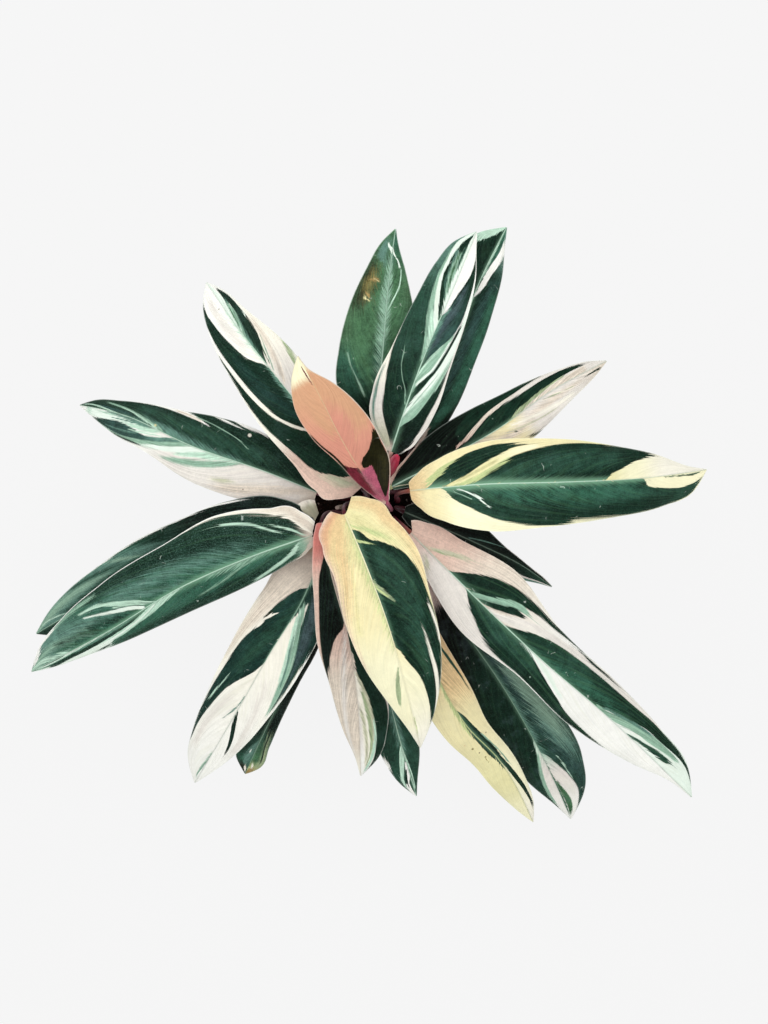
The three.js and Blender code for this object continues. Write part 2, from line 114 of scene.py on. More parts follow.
# Form of each blade, in millimetres and degrees, in the order of LEAF_KEYS: its slot, five points
# of its rib, the half widths of its left and right at the inner stations, tilt and lobe of the
# left and right, count and start of the waves along it, and the foot of its stalk.
LEAF_KEYS = ("slot", "rib", "left", "right", "tilt", "lobes", "wave", "foot")
LEAF_SIZES = {
    "northwest": (
        "leaf_cream",
        ((-13, 13, 292), (-27, 32, 300), (-71, 89, 311), (-113, 142, 296), (-148, 191, 268)),
        (24, 33, 34, 36, 31, 23, 12),
        (7, 13, 20, 23, 23, 14, 8),
        (8, 22), (3, 3), (3.5, 0.1), (-12, 9),
    ),
    "west": (
        "leaf_cream",
        ((-53, 9, 256), (-92, 25, 265), (-163, 50, 260), (-222, 77, 236), (-273, 90, 205)),
        (13, 22, 29, 30, 23, 19, 8),
        (8, 18, 30, 32, 23, 12, 7),
        (-4, 8), (3, 3), (4, 0.6), (-26, 5),
    ),
    "west_back": (
        "leaf_dark",
        ((-56, -21, 266), (-101, -20, 270), (-172, -41, 254), (-250, -83, 216), (-320, -122, 180)),
        (17, 30, 37, 39, 34, 23, 12),
        (14, 24, 26, 25, 25, 20, 10),
        (0, 5), (3, 3), (3, 0.3), (-33, -10),
    ),
    "west_front": (
        "leaf_green",
        ((-55, -28, 279), (-99, -43, 289), (-165, -71, 282), (-237, -113, 249), (-317, -154, 207)),
        (11, 17, 22, 22.5, 17, 9.5, 5),
        (23, 34, 43, 39, 39, 30, 16),
        (-25, 8), (3, 9), (4, 0), (-24, -8),
    ),
    "southwest": (
        "leaf_cream",
        ((-47, -38, 250), (-65, -84, 254), (-95, -133, 241), (-130, -193, 212), (-173, -264, 170)),
        (7, 16, 27, 32, 28, 19, 8),
        (16, 30, 35, 35, 33, 27, 16),
        (10, 3), (3, 3), (4, 0.5), (-26, -24),
    ),
    "southwest_stub": (
        "leaf_dark",
        ((-47, -87, 232), (-62, -123, 226), (-84, -170, 208), (-106, -214, 186), (-126, -257, 163)),
        (6, 9, 11, 9, 9, 10.5, 10.5),
        (6, 8, 10, 14, 16, 16, 14),
        (8, 0), (3, 3), (4, 0.2), (-20, -35),
    ),
    "south_left": (
        "leaf_pink",
        ((-47, -17, 290), (-39, -58, 295), (-26, -110, 283), (-18, -169, 258), (-15, -246, 224)),
        (4, 6, 9, 15, 25, 25, 15),
        (7, 12, 18, 26, 22, 14, 4),
        (-4, 14), (3, 3), (3, 0.7), (-15, -14),
    ),
    "south_small": (
        "leaf_dark",
        ((-24, -72, 246), (-8, -117, 244), (8, -167, 230), (20, -214, 214), (36, -272, 190)),
        (11, 16, 21, 22, 20, 14, 5),
        (6, 10, 15, 20, 23, 19, 10),
        (-5, -5), (3, 3), (4, 0.4), (-8, -30),
    ),
    "front": (
        "leaf_yellow",
        ((-27, -10, 308), (-10, -49, 322), (8, -97, 322), (25, -158, 306), (37, -209, 285)),
        (25, 36, 44, 41, 37, 24, 10),
        (20, 28, 28, 33, 29, 15, 5),
        (5, 4), (16, 11), (3, 0.2), (-10, -2),
    ),
    "southeast_yellow": (
        "leaf_yellow",
        ((27, -68, 258), (47, -138, 252), (78, -197, 232), (112, -236, 206), (147, -301, 170)),
        (9, 11, 17, 22, 15, 12, 8),
        (7, 11, 18, 23, 21, 19, 9),
        (-14, -4), (3, 3), (4, 0.8), (8, -28),
    ),
    "southeast_dark": (
        "leaf_dark",
        ((43, -60, 232), (70, -103, 226), (113, -165, 204), (152, -232, 176), (187, -305, 142)),
        (9, 14, 16, 22, 33, 34, 21),
        (8, 15, 25, 33, 29, 23, 8),
        (0, -6), (3, 3), (3, 0.1), (24, -28),
    ),
    "southeast_long": (
        "leaf_cream",
        ((29, -26, 282), (79, -76, 286), (140, -134, 268), (207, -192, 228), (294, -275, 182)),
        (16, 27, 40, 31, 29, 25, 18),
        (9, 18, 29, 24, 28, 17, 3),
        (-5, 3), (14, 3), (5, 0.3), (15, -14),
    ),
    "east_dark": (
        "leaf_dark",
        ((24, -8, 252), (55, -21, 257), (91, -37, 250), (128, -55, 232), (159, -76, 212)),
        (9, 13, 17, 17, 8, 3, 2),
        (7, 12, 14, 14, 14, 11, 4),
        (0, -8), (3, 3), (3, 0.5), (25, -5),
    ),
    "east": (
        "leaf_yellow",
        ((28, 10, 296), (86, 15, 308), (154, 17, 304), (227, 21, 272), (295, 30, 232)),
        (13, 25, 35, 37, 31, 19, 5),
        (16, 29, 39, 37, 32, 26, 17),
        (3, 5), (3, 1), (3.5, 0.4), (19, 3),
    ),
    "northeast": (
        "leaf_cream",
        ((13, 14, 276), (54, 35, 282), (102, 62, 278), (151, 97, 258), (205, 127, 234)),
        (9, 17, 25, 27, 21, 13, 7),
        (5, 10, 18, 24, 23, 15, 7),
        (-6, -6), (3, 3), (4, 0.9), (22, 12),
    ),
    "north_right": (
        "leaf_green",
        ((12, 43, 300), (24, 79, 308), (40, 123, 312), (61, 172, 304), (85, 231, 286)),
        (8, 24, 31, 28, 26, 22, 13),
        (12, 20, 25, 24, 21, 14, 5),
        (4, 10), (3, 3), (3.5, 0.2), (1, 20),
    ),
    "north_back": (
        "leaf_dark",
        ((32, 50, 252), (53, 96, 262), (70, 141, 266), (89, 192, 262), (114, 243, 250)),
        (8, 13, 20, 24, 25, 27, 18),
        (10, 16, 20, 21, 21, 16, 6),
        (-4, -18), (3, 3), (3, 0.6), (19, 28),
    ),
    "north": (
        "leaf_green",
        ((1, 54, 272), (1, 88, 280), (5, 130, 284), (9, 179, 280), (16, 238, 266)),
        (10, 20, 35, 38, 32, 20, 10),
        (11, 20, 27, 29, 24, 13, 4),
        (-6, -4), (3, 3), (3, 0.5), (-3, 28),
    ),
    "new_leaf": (
        "leaf_pink",
        ((8, 0, 298), (-12, 24, 326), (-29, 52, 346), (-44, 82, 359.8), (-62, 115, 365.6)),
        (3, 5, 8, 12, 21, 21, 11),
        (6, 14, 24, 28, 26, 14, 2),
        (18, 14), (0, 0), (2, 0.3), (9, -5),
    ),
}

# Markings of each blade, placed by hundredths: what its look changes of USUAL_LOOK, the ground
# tones of its left and right half along the rib, and round spots as half, place along, place
# across, width in millimetres and tone. Then its brush marks, in the order of painting: half, tone
# and softness of the edge, and after the colon the points. A point has its place along the rib,
# and where the mark begins and ends between rib (0) and margin (100).
# Some marks are painted light: soft mist marks beside the rib are a painted reflection, and soft mist and
# sage towards the tips of west, west_back and west_front a painted sheen.
MARK_TABLES = {
    "northwest": """
look lines .1 teeth .05
left 0=pink,22=pink,34=cream,90=white
right 0=blush,45=pearl,70=cream,100=white
L lichen 30: 2 10 20, 5 15 45, 9 32 55, 12 50 60
L dark 3: 5.5 0 5, 8 0 28, 12 0 50, 15 0 65, 20 0 77, 24 7 81, 27 18 84, 31 38 87, 35 53 91, 40 66 94,
  48 78 97, 60 90 98.5, 70 97 99
L dark 3: 26 0 12, 30 0 25, 35 0 45, 40 0 58, 50 0 70, 56 4 76, 60 20 80, 65 38 84, 70 46 88, 80 66 96,
  86 80 102, 92 95 102
L mist 12: 36 0 2, 42 0 6, 50 0 7, 57 0 2
L teal 20: 30 10 14, 42 20 45, 55 40 65, 66 55 72
R dark 3: 56.5 -2 2, 60 -2 15, 65 -2 40, 70 0 58, 74 12 70, 78 28 80, 82 42 85, 85 50 88, 86.5 36 88,
  90 42 86, 94.5 55 78
R mist 12: 64 -2 2, 70 -2 14, 77 0 30, 84 16 46, 88 36 50
R sage 10: 68 -2 2, 74 -2 20, 79 -2 36, 83 6 48, 86.5 20 48
R ice 12: 74 -2 2, 80 -2 14, 86 -2 30, 92 0 42, 100 0 40
R moss 4: 76 10 13, 80 18 24, 84 30 35
R sage 4: 53 4 7, 58 20 25, 62 33 38, 67 54 58
R ice 3: 76.5 66 68, 77.5 70 78, 79 80 86
R fawn 6: 48.5 74 80, 52 78 95, 56 87 102, 60 97 104
R blush 20: 48 10 20, 56 28 44, 66 52 70, 74 75 85
R moss 3: 56 10 12, 60 18 22, 64 32 35
L pearl 30: 66 15 25, 74 20 40, 84 30 55, 92 35 60
L mint 16: 60 -2 3, 70 -2 6, 84 -2 5
""",
    "west": """
look teeth .04 dust .2 tint .12 glow 5 rib mint
left 0=blush,8=pearl,50=pearl,75=white,100=white
right 0=black,10=dark,50=dark,100=dark
spot R 28.5 78 3.4 cream
spot R 63.5 13 2.6 khaki
spot L 25 70 1.4 clay
L sage 10: 28 -2 2, 33 5 22, 38 18 40, 44 34 56, 50 54 72, 56 78 84
L mint 10: 30 -2 3, 38 -2 16, 46 10 32, 52 36 50
L sage 10: 46 -2 3, 52 -2 25, 56 5 50, 60 25 72, 65 40 86, 70 60 93, 80 85 98, 90 95 100
L ice 6: 42 -2 3, 46 0 16, 50 12 34, 55 34 54, 60 56 70, 65 78 86
L mist 6: 52 -2 5, 57 10 26, 61 28 46, 66 46 60, 70 64 72
L 58=mist,68=dusk,80=dusk,92=dark 6: 58 28 30, 62 35 50, 66 45 64, 70 40 74, 75 34 84, 80 32 90, 84 42 93,
  88 60 96, 92 90 100
L dark 5: 66 84 88, 70 86 95, 76 90 97, 82 95 98
L mint 10: 60 0 5, 66 2 28, 72 6 36, 78 5 32, 84 6 40, 90 10 70, 96 0 100
L ice 10: 72 14 20, 78 12 28, 86 20 50, 94 10 95
L mist 5: 66 4 8, 72 12 17, 78 18 24, 83 26 30
L mist 6: 70 50 53, 74 56 62, 80 66 72, 85 78 82
L mint 5: 60 16 19, 65 28 34, 70 40 46, 74 48 50
L blush 30: 4 10 30, 12 30 60, 22 50 80, 34 75 95
L lichen 16: 30 56 58, 33 58 68, 36 66 70
L mist 12: 63 -2 2, 70 -2 14, 78 -2 12, 86 -2 6
R mist 30: 30 -2 4, 40 -2 12, 50 -2 22, 60 -2 28, 68 5 30
R pine 30: 20 20 50, 40 25 60, 60 40 70, 72 60 80
R sage 3: 28 42 43.5, 31 54 56, 35 63.5 66, 42 75.5 77.5, 48 84.5 86.5, 53 93 96
R white 3: 32 86 88, 37 91 95, 42 97 102
R white 3: 44 69 72, 48 77 83, 53 84 97, 58 90 105, 66 96 105, 77 100 105
R blush 5: 47 76 80, 52 84 91, 58 92 99
R white 3: 22 99 105, 25 93 105, 30 92 105, 34 98 105
R dusk 15: 66 -2 2, 72 0 16, 78 2 30, 84 8 35, 90 20 40
R sage 8: 60 -2 8, 65 4 20, 70 16 31, 75 32 46, 80 49 62, 86 70 78
R mint 6: 62 -2 5, 67 8 16, 73 27 34, 79 48 54
R mint 7: 81 -2 4, 86 6 18, 90 18 34, 94 36 52, 98 50 75
R dark 5: 84 -2 3, 88 -2 10, 92 -2 18, 96 0 30
""",
    "west_back": """
look lines .1 teeth .04 dust .22 rims .1,.3
left 0=black,100=dark
right 0=black,30=black,46=dark,60=green,80=mist,100=mist
R mist 30: 44 35 45, 54 40 80, 70 40 100, 90 20 100, 100 0 100
R sage 12: 52 42 46, 56 55 64, 60 70 82, 63 85 90
R sage 35: 66 50 60, 78 55 85, 90 50 90, 100 30 90
R pine 30: 52 20 45, 62 15 50, 74 10 42, 86 0 30
R pine 20: 60 60 66, 70 70 84, 80 86 98
R mint 8: 86 10 14, 91 30 40, 96 55 70
R white 3: 18 92 93, 21 92 97, 25 95 99, 29 98 102
R white 3: 27 98.5 102, 40 96 102, 60 96.5 102, 80 99 102
""",
    "west_front": """
look teeth .04 dust .4 lines .3 rims .2,.9 rim white rib mint glow 7 glow_share .7
left 0=blush,4=sage,7=pine,40=green,70=green,100=pine
right 0=blush,5=dark,24=pine,42=green,70=green,90=mist,100=mist
L green 40: 8 -2 10, 25 -2 50, 50 -2 50
L sage 30: 14 -2 4, 24 -2 16, 30 -2 4
L sage 10: 20 16 20, 25 30 36, 30 45 50, 36 56 60
L dark 30: 15 50 80, 30 60 110, 50 70 110, 66 80 110
L mint 5: 4.5 10 20, 6 30 55, 8 50 72, 10 65 80, 14 75 88, 20 90 97
L blush 5: 0 20 60, 2 50 90, 4 80 102, 7 96 102
L mint 5: 40 -2 3, 44 -2 14, 48 -2 24, 52 4 34, 57 16 42, 60 24 48, 64 27 58, 68 32 64, 71 34 80,
  73.5 36 110, 80 44 110, 88 50 110, 95 65 110, 100 60 110
L ice 6: 50 6 10, 56 24 30, 62 36 44, 68 46 60, 74 52 110, 80 56 110, 88 66 110, 96 75 110
L dark 4: 70 78 84, 72 80 92, 74.5 88 100
L dark 4: 54 -2 8, 60 4 24, 65 6 32, 70 7 40, 75 14 52, 80 25 62, 85 37 70, 90 50 90, 93 65 102
L mist 10: 58 0 6, 66 6 14, 74 12 24, 82 24 34
L mint 6: 66 -2 3, 76 -2 12, 85 -2 26, 92 -2 42, 98 -2 60
L ice 5: 72 -2 3, 80 -2 8, 88 4 20, 95 10 36
L dark 4: 86 2 8, 90 3 18, 95 0 20
R green 40: 10 -2 6, 30 -2 30, 50 -2 35, 70 -2 40, 90 0 60
R dark 30: 10 30 60, 25 38 95, 40 50 110, 55 66 110, 70 78 110
R mist 40: 20 12 18, 34 26 40, 48 38 58, 60 50 68
R mist 20: 40 5 10, 50 20 32, 60 42 54, 70 66 76
R mist 35: 62 20 25, 70 30 50, 80 30 70, 90 25 80, 100 10 80
R sage 30: 74 20 30, 82 30 42, 90 40 60, 98 40 70
R dark 25: 56 0 6, 66 12 22, 76 24 32, 86 40 46
R cream 3: -1 10 110, 2 32 110, 5 58 110, 8 77 110, 12 88 110, 18 93.5 110, 25 96.5 110, 35 98.5 110
R blush 30: -1 10 60, 3 50 90, 8 85 110, 12 95 110
R mint 4: 2 8 13, 5 27 33, 8 43 49, 10 55 58
R mint 4: 8 30 33, 12 48 53, 17 67 73, 23 78 82
R mint 3: 50 3 6, 54 17 25, 58 32 40, 63 48 58, 68 63 70, 74 71 75
R ice 3: 53 -2 6, 57 13 22, 62 26 34, 67 40 46, 73 58 61
R mint 4: 49 0 3, 53 10 14, 57 24 28, 62 38 42
R sage 8: 66 88 90, 70 87 94, 78 90 97, 88 93 100
R mint 16: 84 -2 5, 90 3 20, 95 8 40, 100 10 60
R white 3: 85 94 110, 88 90 110, 92 93 110, 94 70 110, 98 55 110
""",
    "southwest": """
look lines .1 teeth .04 glow 3 rib sage rib_share .8 haze .12
left 0=blush,15=sage,22=cream,100=white
right 0=peach,6=blush,20=blush,32=cream,100=white
L teal 5: 13 -2 50, 16 -2 40, 20 -2 20, 24 -2 5, 27 -2 0
L 12=teal,30=teal,45=pine 4: 13 20 50, 18 26 80, 22 30 93, 26 34 97, 30 44 100, 35 60 97, 40 72 93,
  46 78 93, 52 84 93, 58 90 94
L steel 16: 14 30 60, 20 38 72, 26 45 76, 32 58 82, 38 74 84
L steel 10: 36 74 76, 42 80 86, 50 86 90, 55 89 91
L sage 6: 19 10 16, 23 10 30, 27 20 40, 31 28 52, 36 42 65, 42 56 76, 48 66 82, 54 76 88, 60 87 92
L mint 6: 22 8 14, 27 15 28, 32 28 42, 38 42 55, 46 60 68
L mist 5: 30 30 33, 34 40 45, 40 56 60, 48 72 76
L white 2: 33 98 105, 38 95 105, 50 95 105, 60 97 105
L dark 3: 64.5 0 4, 69 6 21, 73 19 37, 77 36 52, 80 48 60, 82.5 57 63
L pearl 30: 50 30 40, 60 45 60, 70 60 75, 80 75 90
R blush 20: 10 20 50, 20 50 80, 30 65 95, 40 85 100, 48 95 100
R teal 3: 14.3 -2 2, 15.5 -2 17, 18 -2 32, 21 -2 43, 25 -2 53, 28.5 -2 57, 31 -2 55, 35 -2 66, 40 -2 78,
  43 0 82, 46 6 84.5, 50 20 86.5, 55 42 90, 60 60 94, 65 70 97, 70 78 99, 75 87 99.5, 80 93 100, 86 99 101
R cream 2: 26.2 36 37, 27.5 41 48, 29 47 58, 30.5 55 64
R olive 4: 26.5 49 52, 28 52 57, 30 57 62
R mint 2: 54 66 68, 58 72 75.5, 62 80 84, 66 87 90
R white 3: 60 96 105, 70 98 105, 80 99 105
R pine 25: 20 4 8, 30 5 30, 40 20 50, 50 45 65
R pearl 25: 60 30 40, 68 45 62, 76 60 78, 85 70 88
R mist 5: 58 0 3, 62 3 6, 66 12 15, 70 25 27
R mist 6: 86 0 3, 90 3 8, 94 10 17, 96.5 18 26
R sage 12: 85 0 5, 91 6 14, 97 20 34
""",
    "southwest_stub": """
look teeth .06 dust .3 rib_share .4
left 0=black,70=black,75=pine,90=moss,97=lime
right 0=black,66=black,84=pine,93=green,98=olive
R mist 20: 80 -2 10, 86 5 40, 92 10 50, 96 30 50
R black 20: 60 50 110, 75 60 110, 86 80 110
R ice 3: 85.5 24 25, 86.5 22 30, 87.5 24 26
L fawn 40: 76 50 70, 86 60 100, 95 50 110
L black 8: 70 50 54, 80 56 66, 90 66 78
L cream 8: 93 20 30, 95.5 30 60, 97.5 50 90
L straw 12: 95 50 70, 97 10 110, 100 -2 110
R olive 10: 94 60 90, 96.5 20 110, 100 -2 110
R cream 6: 95.5 30 36, 97 20 50, 99 30 40
""",
    "south_left": """
look lines .1 teeth .04 rib blush glow_share .1
left 0=pink,35=blush,55=blush,80=pearl,100=white
right 0=coral,7=coral,20=pink,40=pink,60=blush,85=blush,100=cream
R pearl 20: 40 5 12, 50 20 32, 62 40 56, 75 60 78, 90 75 95
R black 4: 9 -2 15, 12 -2 30, 15 -2 48, 19 -2 68, 25 -2 78, 33 -2 85, 37 5 87, 40 30 89, 43 50 91, 46 62 94,
  50 76 97, 57 98 100
L dark 4: 40 -2 5, 45 -2 25, 50 10 35, 55 10 45, 60 15 60, 65 30 80, 70 40 95, 80 55 100, 90 70 100,
  97 85 100
L lichen 6: 56 2 10, 62 5 28, 70 10 42, 80 12 58, 90 25 68, 96 40 75
L cream 10: 56 0 6, 66 4 22, 76 8 34, 86 15 46, 95 30 60
L fawn 6: 64 16 22, 72 24 36, 80 34 46, 88 42 52, 95 44 50
L lichen 10: 70 4 12, 78 12 24, 86 22 34, 94 28 40
L mint 6: 76 48 52, 84 54 64, 92 54 70, 98 50 80
""",
    "south_small": """
look lines .1 teeth .05
left 0=dark,50=pine,100=pine
right 0=dark,50=pine,100=pine
L mist 25: 50 -2 6, 62 -2 16, 76 -2 16
R mist 25: 50 -2 6, 62 -2 14, 72 -2 12
L mint 5: 76 -2 3, 84 -2 16, 90 -2 32, 96 5 50
L dark 4: 84 2 5, 90 8 16, 95 16 26
R mint 6: 74 -2 8, 80 4 28, 85 22 46, 90 48 70, 95 75 90
R white 6: 82 -2 6, 90 5 30, 95 30 75, 100 10 110
R dark 4: 86 8 16, 91 28 40, 95 48 55
R white 4: 66 90 94, 70 86 110, 72 95 110
R white 4: 78 92 95, 82 84 110, 84 95 110
L white 4: 60 95 110, 66 93 110, 72 97 110
""",
    "front": """
look teeth .045 rib vanilla lines .22
left 0=lemon,20=yellow,50=yellow,70=vanilla,100=cream
right 0=peach,5=peach,15=khaki,24=yellow,40=yellow,65=vanilla,85=vanilla,100=cream
R khaki 40: 2 -2 25, 15 -2 30, 35 -2 10
R lime 30: 4 -2 5, 20 -2 10, 40 -2 8, 55 -2 2
R khaki 16: 12 30 36, 22 40 50, 34 55 64, 46 70 78
R peach 50: 5 30 50, 14 36 76, 24 55 85, 36 80 90
R peach 40: -1 30 80, 6 60 110, 16 84 110, 30 95 110
R pink 30: -1 70 110, 10 88 110, 30 96 110, 60 98 110
R apricot 40: 0 60 80, 5 70 90, 10 85 95
L peach 50: -1 50 110, 10 70 110, 25 90 110, 35 100 110
L khaki 40: 2 -2 30, 8 10 50, 14 40 70, 20 70 80
L dark 3: 7 -2 3, 9.5 -2 20, 12.5 -2 25, 15 -2 41, 18 -2 57, 22 -2 72, 27 -2 83, 33 -2 92, 40 -2 96,
  50 -2 100, 53.5 0 100, 58 10 100, 62 20 100, 67 36 100, 72 50 100, 78 62 100, 84 77 100, 89.5 92 102
L cream 2.5: 50 66 69, 53 66 72, 57 67.5 75, 62 72 80, 67 78 87, 72 84 94, 78 91 100, 84 97 102
L cream 3: 43 90 93, 47 92 97, 52 95 99, 58 97 100
L lime 16: 6 5 12, 10 30 42, 13 45 56, 16 60 66
L lime 3: 11.5 -2 3, 13 5 14, 14.5 18 25, 15.8 28 32
L fawn 3: 28 -2 3, 32 2 12, 35 12 22, 38.5 27 32
L lime 3: 30 -2 3, 33 6 10, 36 17 21
L pine 20: 16 10 30, 25 20 60, 40 30 80, 55 40 70, 70 60 75
R fawn 5: 64 7 10, 68 12 26, 72 20 40, 76 32 52, 79 45 58
L lime 8: 86 2 6, 90 3 9, 94 3 6
""",
    "southeast_yellow": """
look teeth .05 rib lime
left 0=peach,35=peach,50=yellow,80=vanilla,100=cream
right 0=peach,25=peach,45=yellow,80=lemon,100=vanilla
spot R 60 50 2.4 ochre
spot R 63 42 1.6 clay
spot R 66 36 2 ochre
spot R 57 62 1.4 peach
L pine 3: 20 55 62, 25 66 78, 30 74 86, 36 84 90, 40 86 88
L dark 3: 45 -2 3, 50 -2 22, 55 -2 30, 60 -2 36, 65 -2 36, 70 0 30, 75 8 40, 80 20 55, 85 38 70, 90 55 80,
  94 70 100
L sage 5: 58 30 38, 66 36 44, 74 40 50
R dark 3: 48 -2 2, 55 -2 10, 60 -2 14, 65 -2 18, 70 -2 12, 75 -2 2
R lime 8: 30 -2 4, 40 -2 10, 48 0 14, 56 10 18
R ochre 4: 66 38 40, 67 39 42, 68.5 40 42
""",
    # The soft sage mark on its left half is a painted highlight.
    "southeast_dark": """
look teeth .05 haze .5 lines .1 glow_share .3 rib sage rib_share .7
left 0=black,20=dark,45=pine,100=pine
right 0=cream,10=cream,13=black,40=dark,70=dark,100=pine
L dusk 50: 30 10 40, 45 10 75, 60 15 90, 75 35 90, 90 80 100
L mist 30: 38 45 75, 50 38 86, 66 42 90, 78 75 90
L sage 50: 40 50 70, 50 45 85, 60 50 85, 68 70 80
L 70=mint,82=pearl,100=white 4: 72 -2 2, 75 0 15, 80 2 32, 85 4 50, 90 6 66, 95 8 82, 100 0 110
L mint 2: 76 36 38, 80 42 45, 83 48 51, 86 55 57
L moss 6: 84 3 8, 89 6 22, 94 10 40, 98 12 50
L mist 20: 40 -2 3, 55 -2 10, 72 -2 6
R 66=mint,80=pearl,100=white 4: 66 -2 2, 71 -2 12, 76 -2 25, 81 -2 40, 86 -2 56, 91 -2 75, 96 -2 100,
  100 0 110
R sage 6: 72 8 14, 77 22 34, 82 36 52, 87 52 72, 92 72 90
R black 50: 12 30 60, 20 10 110, 30 40 110, 40 80 100
""",
    "southeast_long": """
look teeth .045 glow 7 rib mint lines .3
left 0=pink,8=pink,20=blush,50=white,100=ice
right 0=pink,10=pearl,30=pearl,50=white,100=white
L lichen 10: 5 3 10, 7 16 30, 10 38 54, 13 54 64
L fawn 5: 5 4 7, 8 24 28, 11 45 48
L dark 3: 12 -2 2, 15 -2 28, 18 -2 48, 20 0 58, 22 13 65, 25 32 73, 28 50 80, 32 68 88, 36 80 94, 42 92 100,
  50 100 103
L sage 3: 19 -2 5, 22 5 20, 25 18 38, 28 35 55, 31 50 62, 33 58 60
L dark 3: 21 -2 3, 24 5 17, 27 18 33, 30 33 48, 32 44 49
L pearl 3: 24.5 -2 2, 28 2 15, 30 8 30, 33 20 45, 36 40 60, 40 55 75, 45 66 86, 50 73 94, 60 78 100,
  70 80 100, 76 85 100, 80 93 100
L dark 3: 48 93 100, 55 88 95, 59 90 96, 63.5 93 95
L 30=dark,50=pine,65=dark,90=dark 3: 30 -2 2, 32 -2 12, 35 -2 30, 38 -2 46, 42 -2 62, 48 -2 72, 56 -2 77,
  62 0 79, 65 12 81, 69 28 83, 73 44 88, 78 60 95, 84 67 97, 90 77 94, 94 87 92
L green 40: 40 -2 6, 50 0 30, 58 10 45, 66 30 50
L sage 5: 62 -2 6, 66 0 16, 70 5 32, 74 20 48, 80 32 62, 86 45 68, 90 55 70
L mist 4: 64 10 18, 69 24 34, 74 40 50, 79 54 62
L pine 4: 74 -2 4, 78 6 20, 82 13 34, 86 17 42, 89 34 42
L ice 5: 74 6 10, 80 24 31, 86 40 48, 92 46 60
L dark 3: 86 80 86, 90 82 90, 94 86 100, 97 92 105
R lichen 12: 6 30 50, 8 50 85, 9 85 95
R 18=dark,27=pine,40=pine,48=dark 3: 17.5 -2 2, 20 -2 25, 22 -2 38, 24 -2 50, 27.5 -2 68, 30 -2 80,
  32.5 -2 88, 35 -2 93, 37.5 -2 95, 40 13 95.5, 43 30 96, 47 46 96.5, 52 63 98, 57 77 99, 63 85 99,
  68 93 100, 72 99 100
R dark 12: 22 24 34, 26 38 58, 32 52 86, 40 62 93, 50 72 97
R ice 10: 36 -2 2, 42 4 20, 48 26 42, 52 44 58
""",
    "east_dark": """
look lines .1 teeth .03 rib_share .25 glow_share .05
left 0=black,100=black
right 0=black,60=black,100=pine
L mist 6: 38 5 11, 45 22 28, 50 37 43, 55 57 63, 60 82 88
L pearl 3: 60 93 105, 80 90 105, 100 70 105
R mist 10: 30 90 105, 50 88 105, 70 85 105, 85 70 105, 100 40 105
R pearl 6: 60 45 50, 70 60 70, 80 65 78, 90 60 75, 100 50 80
""",
    "east": """
look teeth .05 glow 9 glow_share .85 rib mint lines .2
left 0=peach,10=yellow,40=yellow,60=lemon,70=vanilla,84=cream,100=cream
right 0=peach,6=yellow,15=vanilla,70=vanilla,100=vanilla
L lime 5: 5 10 35, 8 30 60, 11 50 72, 14.5 64 76
L dark 3: 5 -2 3, 7 -2 22, 9 -2 40, 12 2 60, 15 17 76, 18 31 83, 22 49 87, 27 66 90, 31 80 90, 33.5 84 86
L 10=lemon,22=lemon,35=vanilla 4: 11 -2 4, 15 0 18, 20 12 40, 26 40 63, 32 66 80, 38 80 88
L dark 3: 16.5 -2 2, 20 -2 12, 23 -2 30, 27 -2 48, 32 -2 65, 38 -2 78, 45 -2 88, 52 -2 94, 57 -2 97,
  62 20 99, 66 34 102, 70 55 102, 74 70 102, 78.5 88 98
L lime 6: 13 -2 3, 18 4 16, 24 26 38, 29 50 58
L khaki 5: 10 0 3, 15 14 20, 20 28 36, 26 50 58
L pine 20: 25 10 20, 40 15 60, 55 30 80, 66 50 85
R 10=pine,40=dark,60=pine,80=pine 3: 10 -2 2, 11.5 -2 22, 14 -2 40, 17 -2 50, 21 -2 64, 26 -2 76, 31 -2 84,
  36 -2 94, 42 -2 98, 46.5 -2 100, 47.5 -2 91, 56 -2 90, 62 -2 94, 68 -2 99, 73.5 2 99, 75 26 99, 80 38 99,
  86 50 98, 92 57 96, 97 75 90
R green 50: 15 -2 8, 30 0 35, 50 5 45, 70 10 50
R dark 20: 40 75 80, 55 70 95, 70 60 100, 85 70 100
R ice 3: 14 7 9, 17 15 18, 19.5 22 28, 21.5 36 41, 23.5 50 52
R sage 3: 13 13 14, 16 24 26, 18 32 33
R olive 4: 82 3 6, 88 5 10, 93 8 18, 97 10 20
""",
    "northeast": """
look lines .1 haze 0 dust .04 teeth .05
left 0=black,30=black,50=dark,70=pearl,100=pearl
right 0=dark,12=dark,20=blush,30=blush,50=yellow,60=pearl,80=pearl,100=blush
L pearl 4: 45 70 110, 60 75 110, 72 0 110, 85 0 110, 100 0 110
L dark 3: 30 20 60, 40 45 95, 50 65 110, 60 75 102, 68 88 98, 72 95 100
L 28=pink,40=blush,70=pearl 3: 28 15 20, 30 15 24, 35 24 38, 40 40 52, 45 54 64, 50 60 72, 55 65 76,
  60 65 80, 65 72 86, 70 80 95
L dark 3: 30 -2 10, 33 -2 16, 37 -2 30, 40 -2 36, 45 -2 50, 50 -2 58, 55 10 61, 60 18 62, 65 25 66,
  70 30 73, 75 40 80, 80 50 88, 85 58 90, 90 65 86
L fawn 4: 50 -2 3, 54 -2 12, 58 4 20, 65 12 26, 70 20 33, 80 42 50
L blush 10: 54 -2 2, 60 -2 6, 66 0 14, 74 0 28, 82 0 42, 90 0 60
L pink 4: -1 30 110, 2 60 110, 5 80 110, 10 90 110, 16 97 110
R lichen 5: 0 20 40, 4 45 60, 10 80 90
R blush 30: 20 30 50, 30 30 70, 50 30 60, 65 20 50, 85 30 50
R cream 15: 50 10 20, 60 34 46, 70 55 70, 80 72 88
R fawn 5: 68 12 14, 72 20 24, 76 30 33, 82 42 44
R lichen 10: 48 28 30, 54 42 47, 62 60 64, 70 76 78
R pine 3: 49.5 40 42, 50.2 40 45, 50.8 42 44
R dark 4: 53 80 85, 57 92 100, 60 99 102
R dark 4: 88 33 36, 93 35 55, 96 45 90
""",
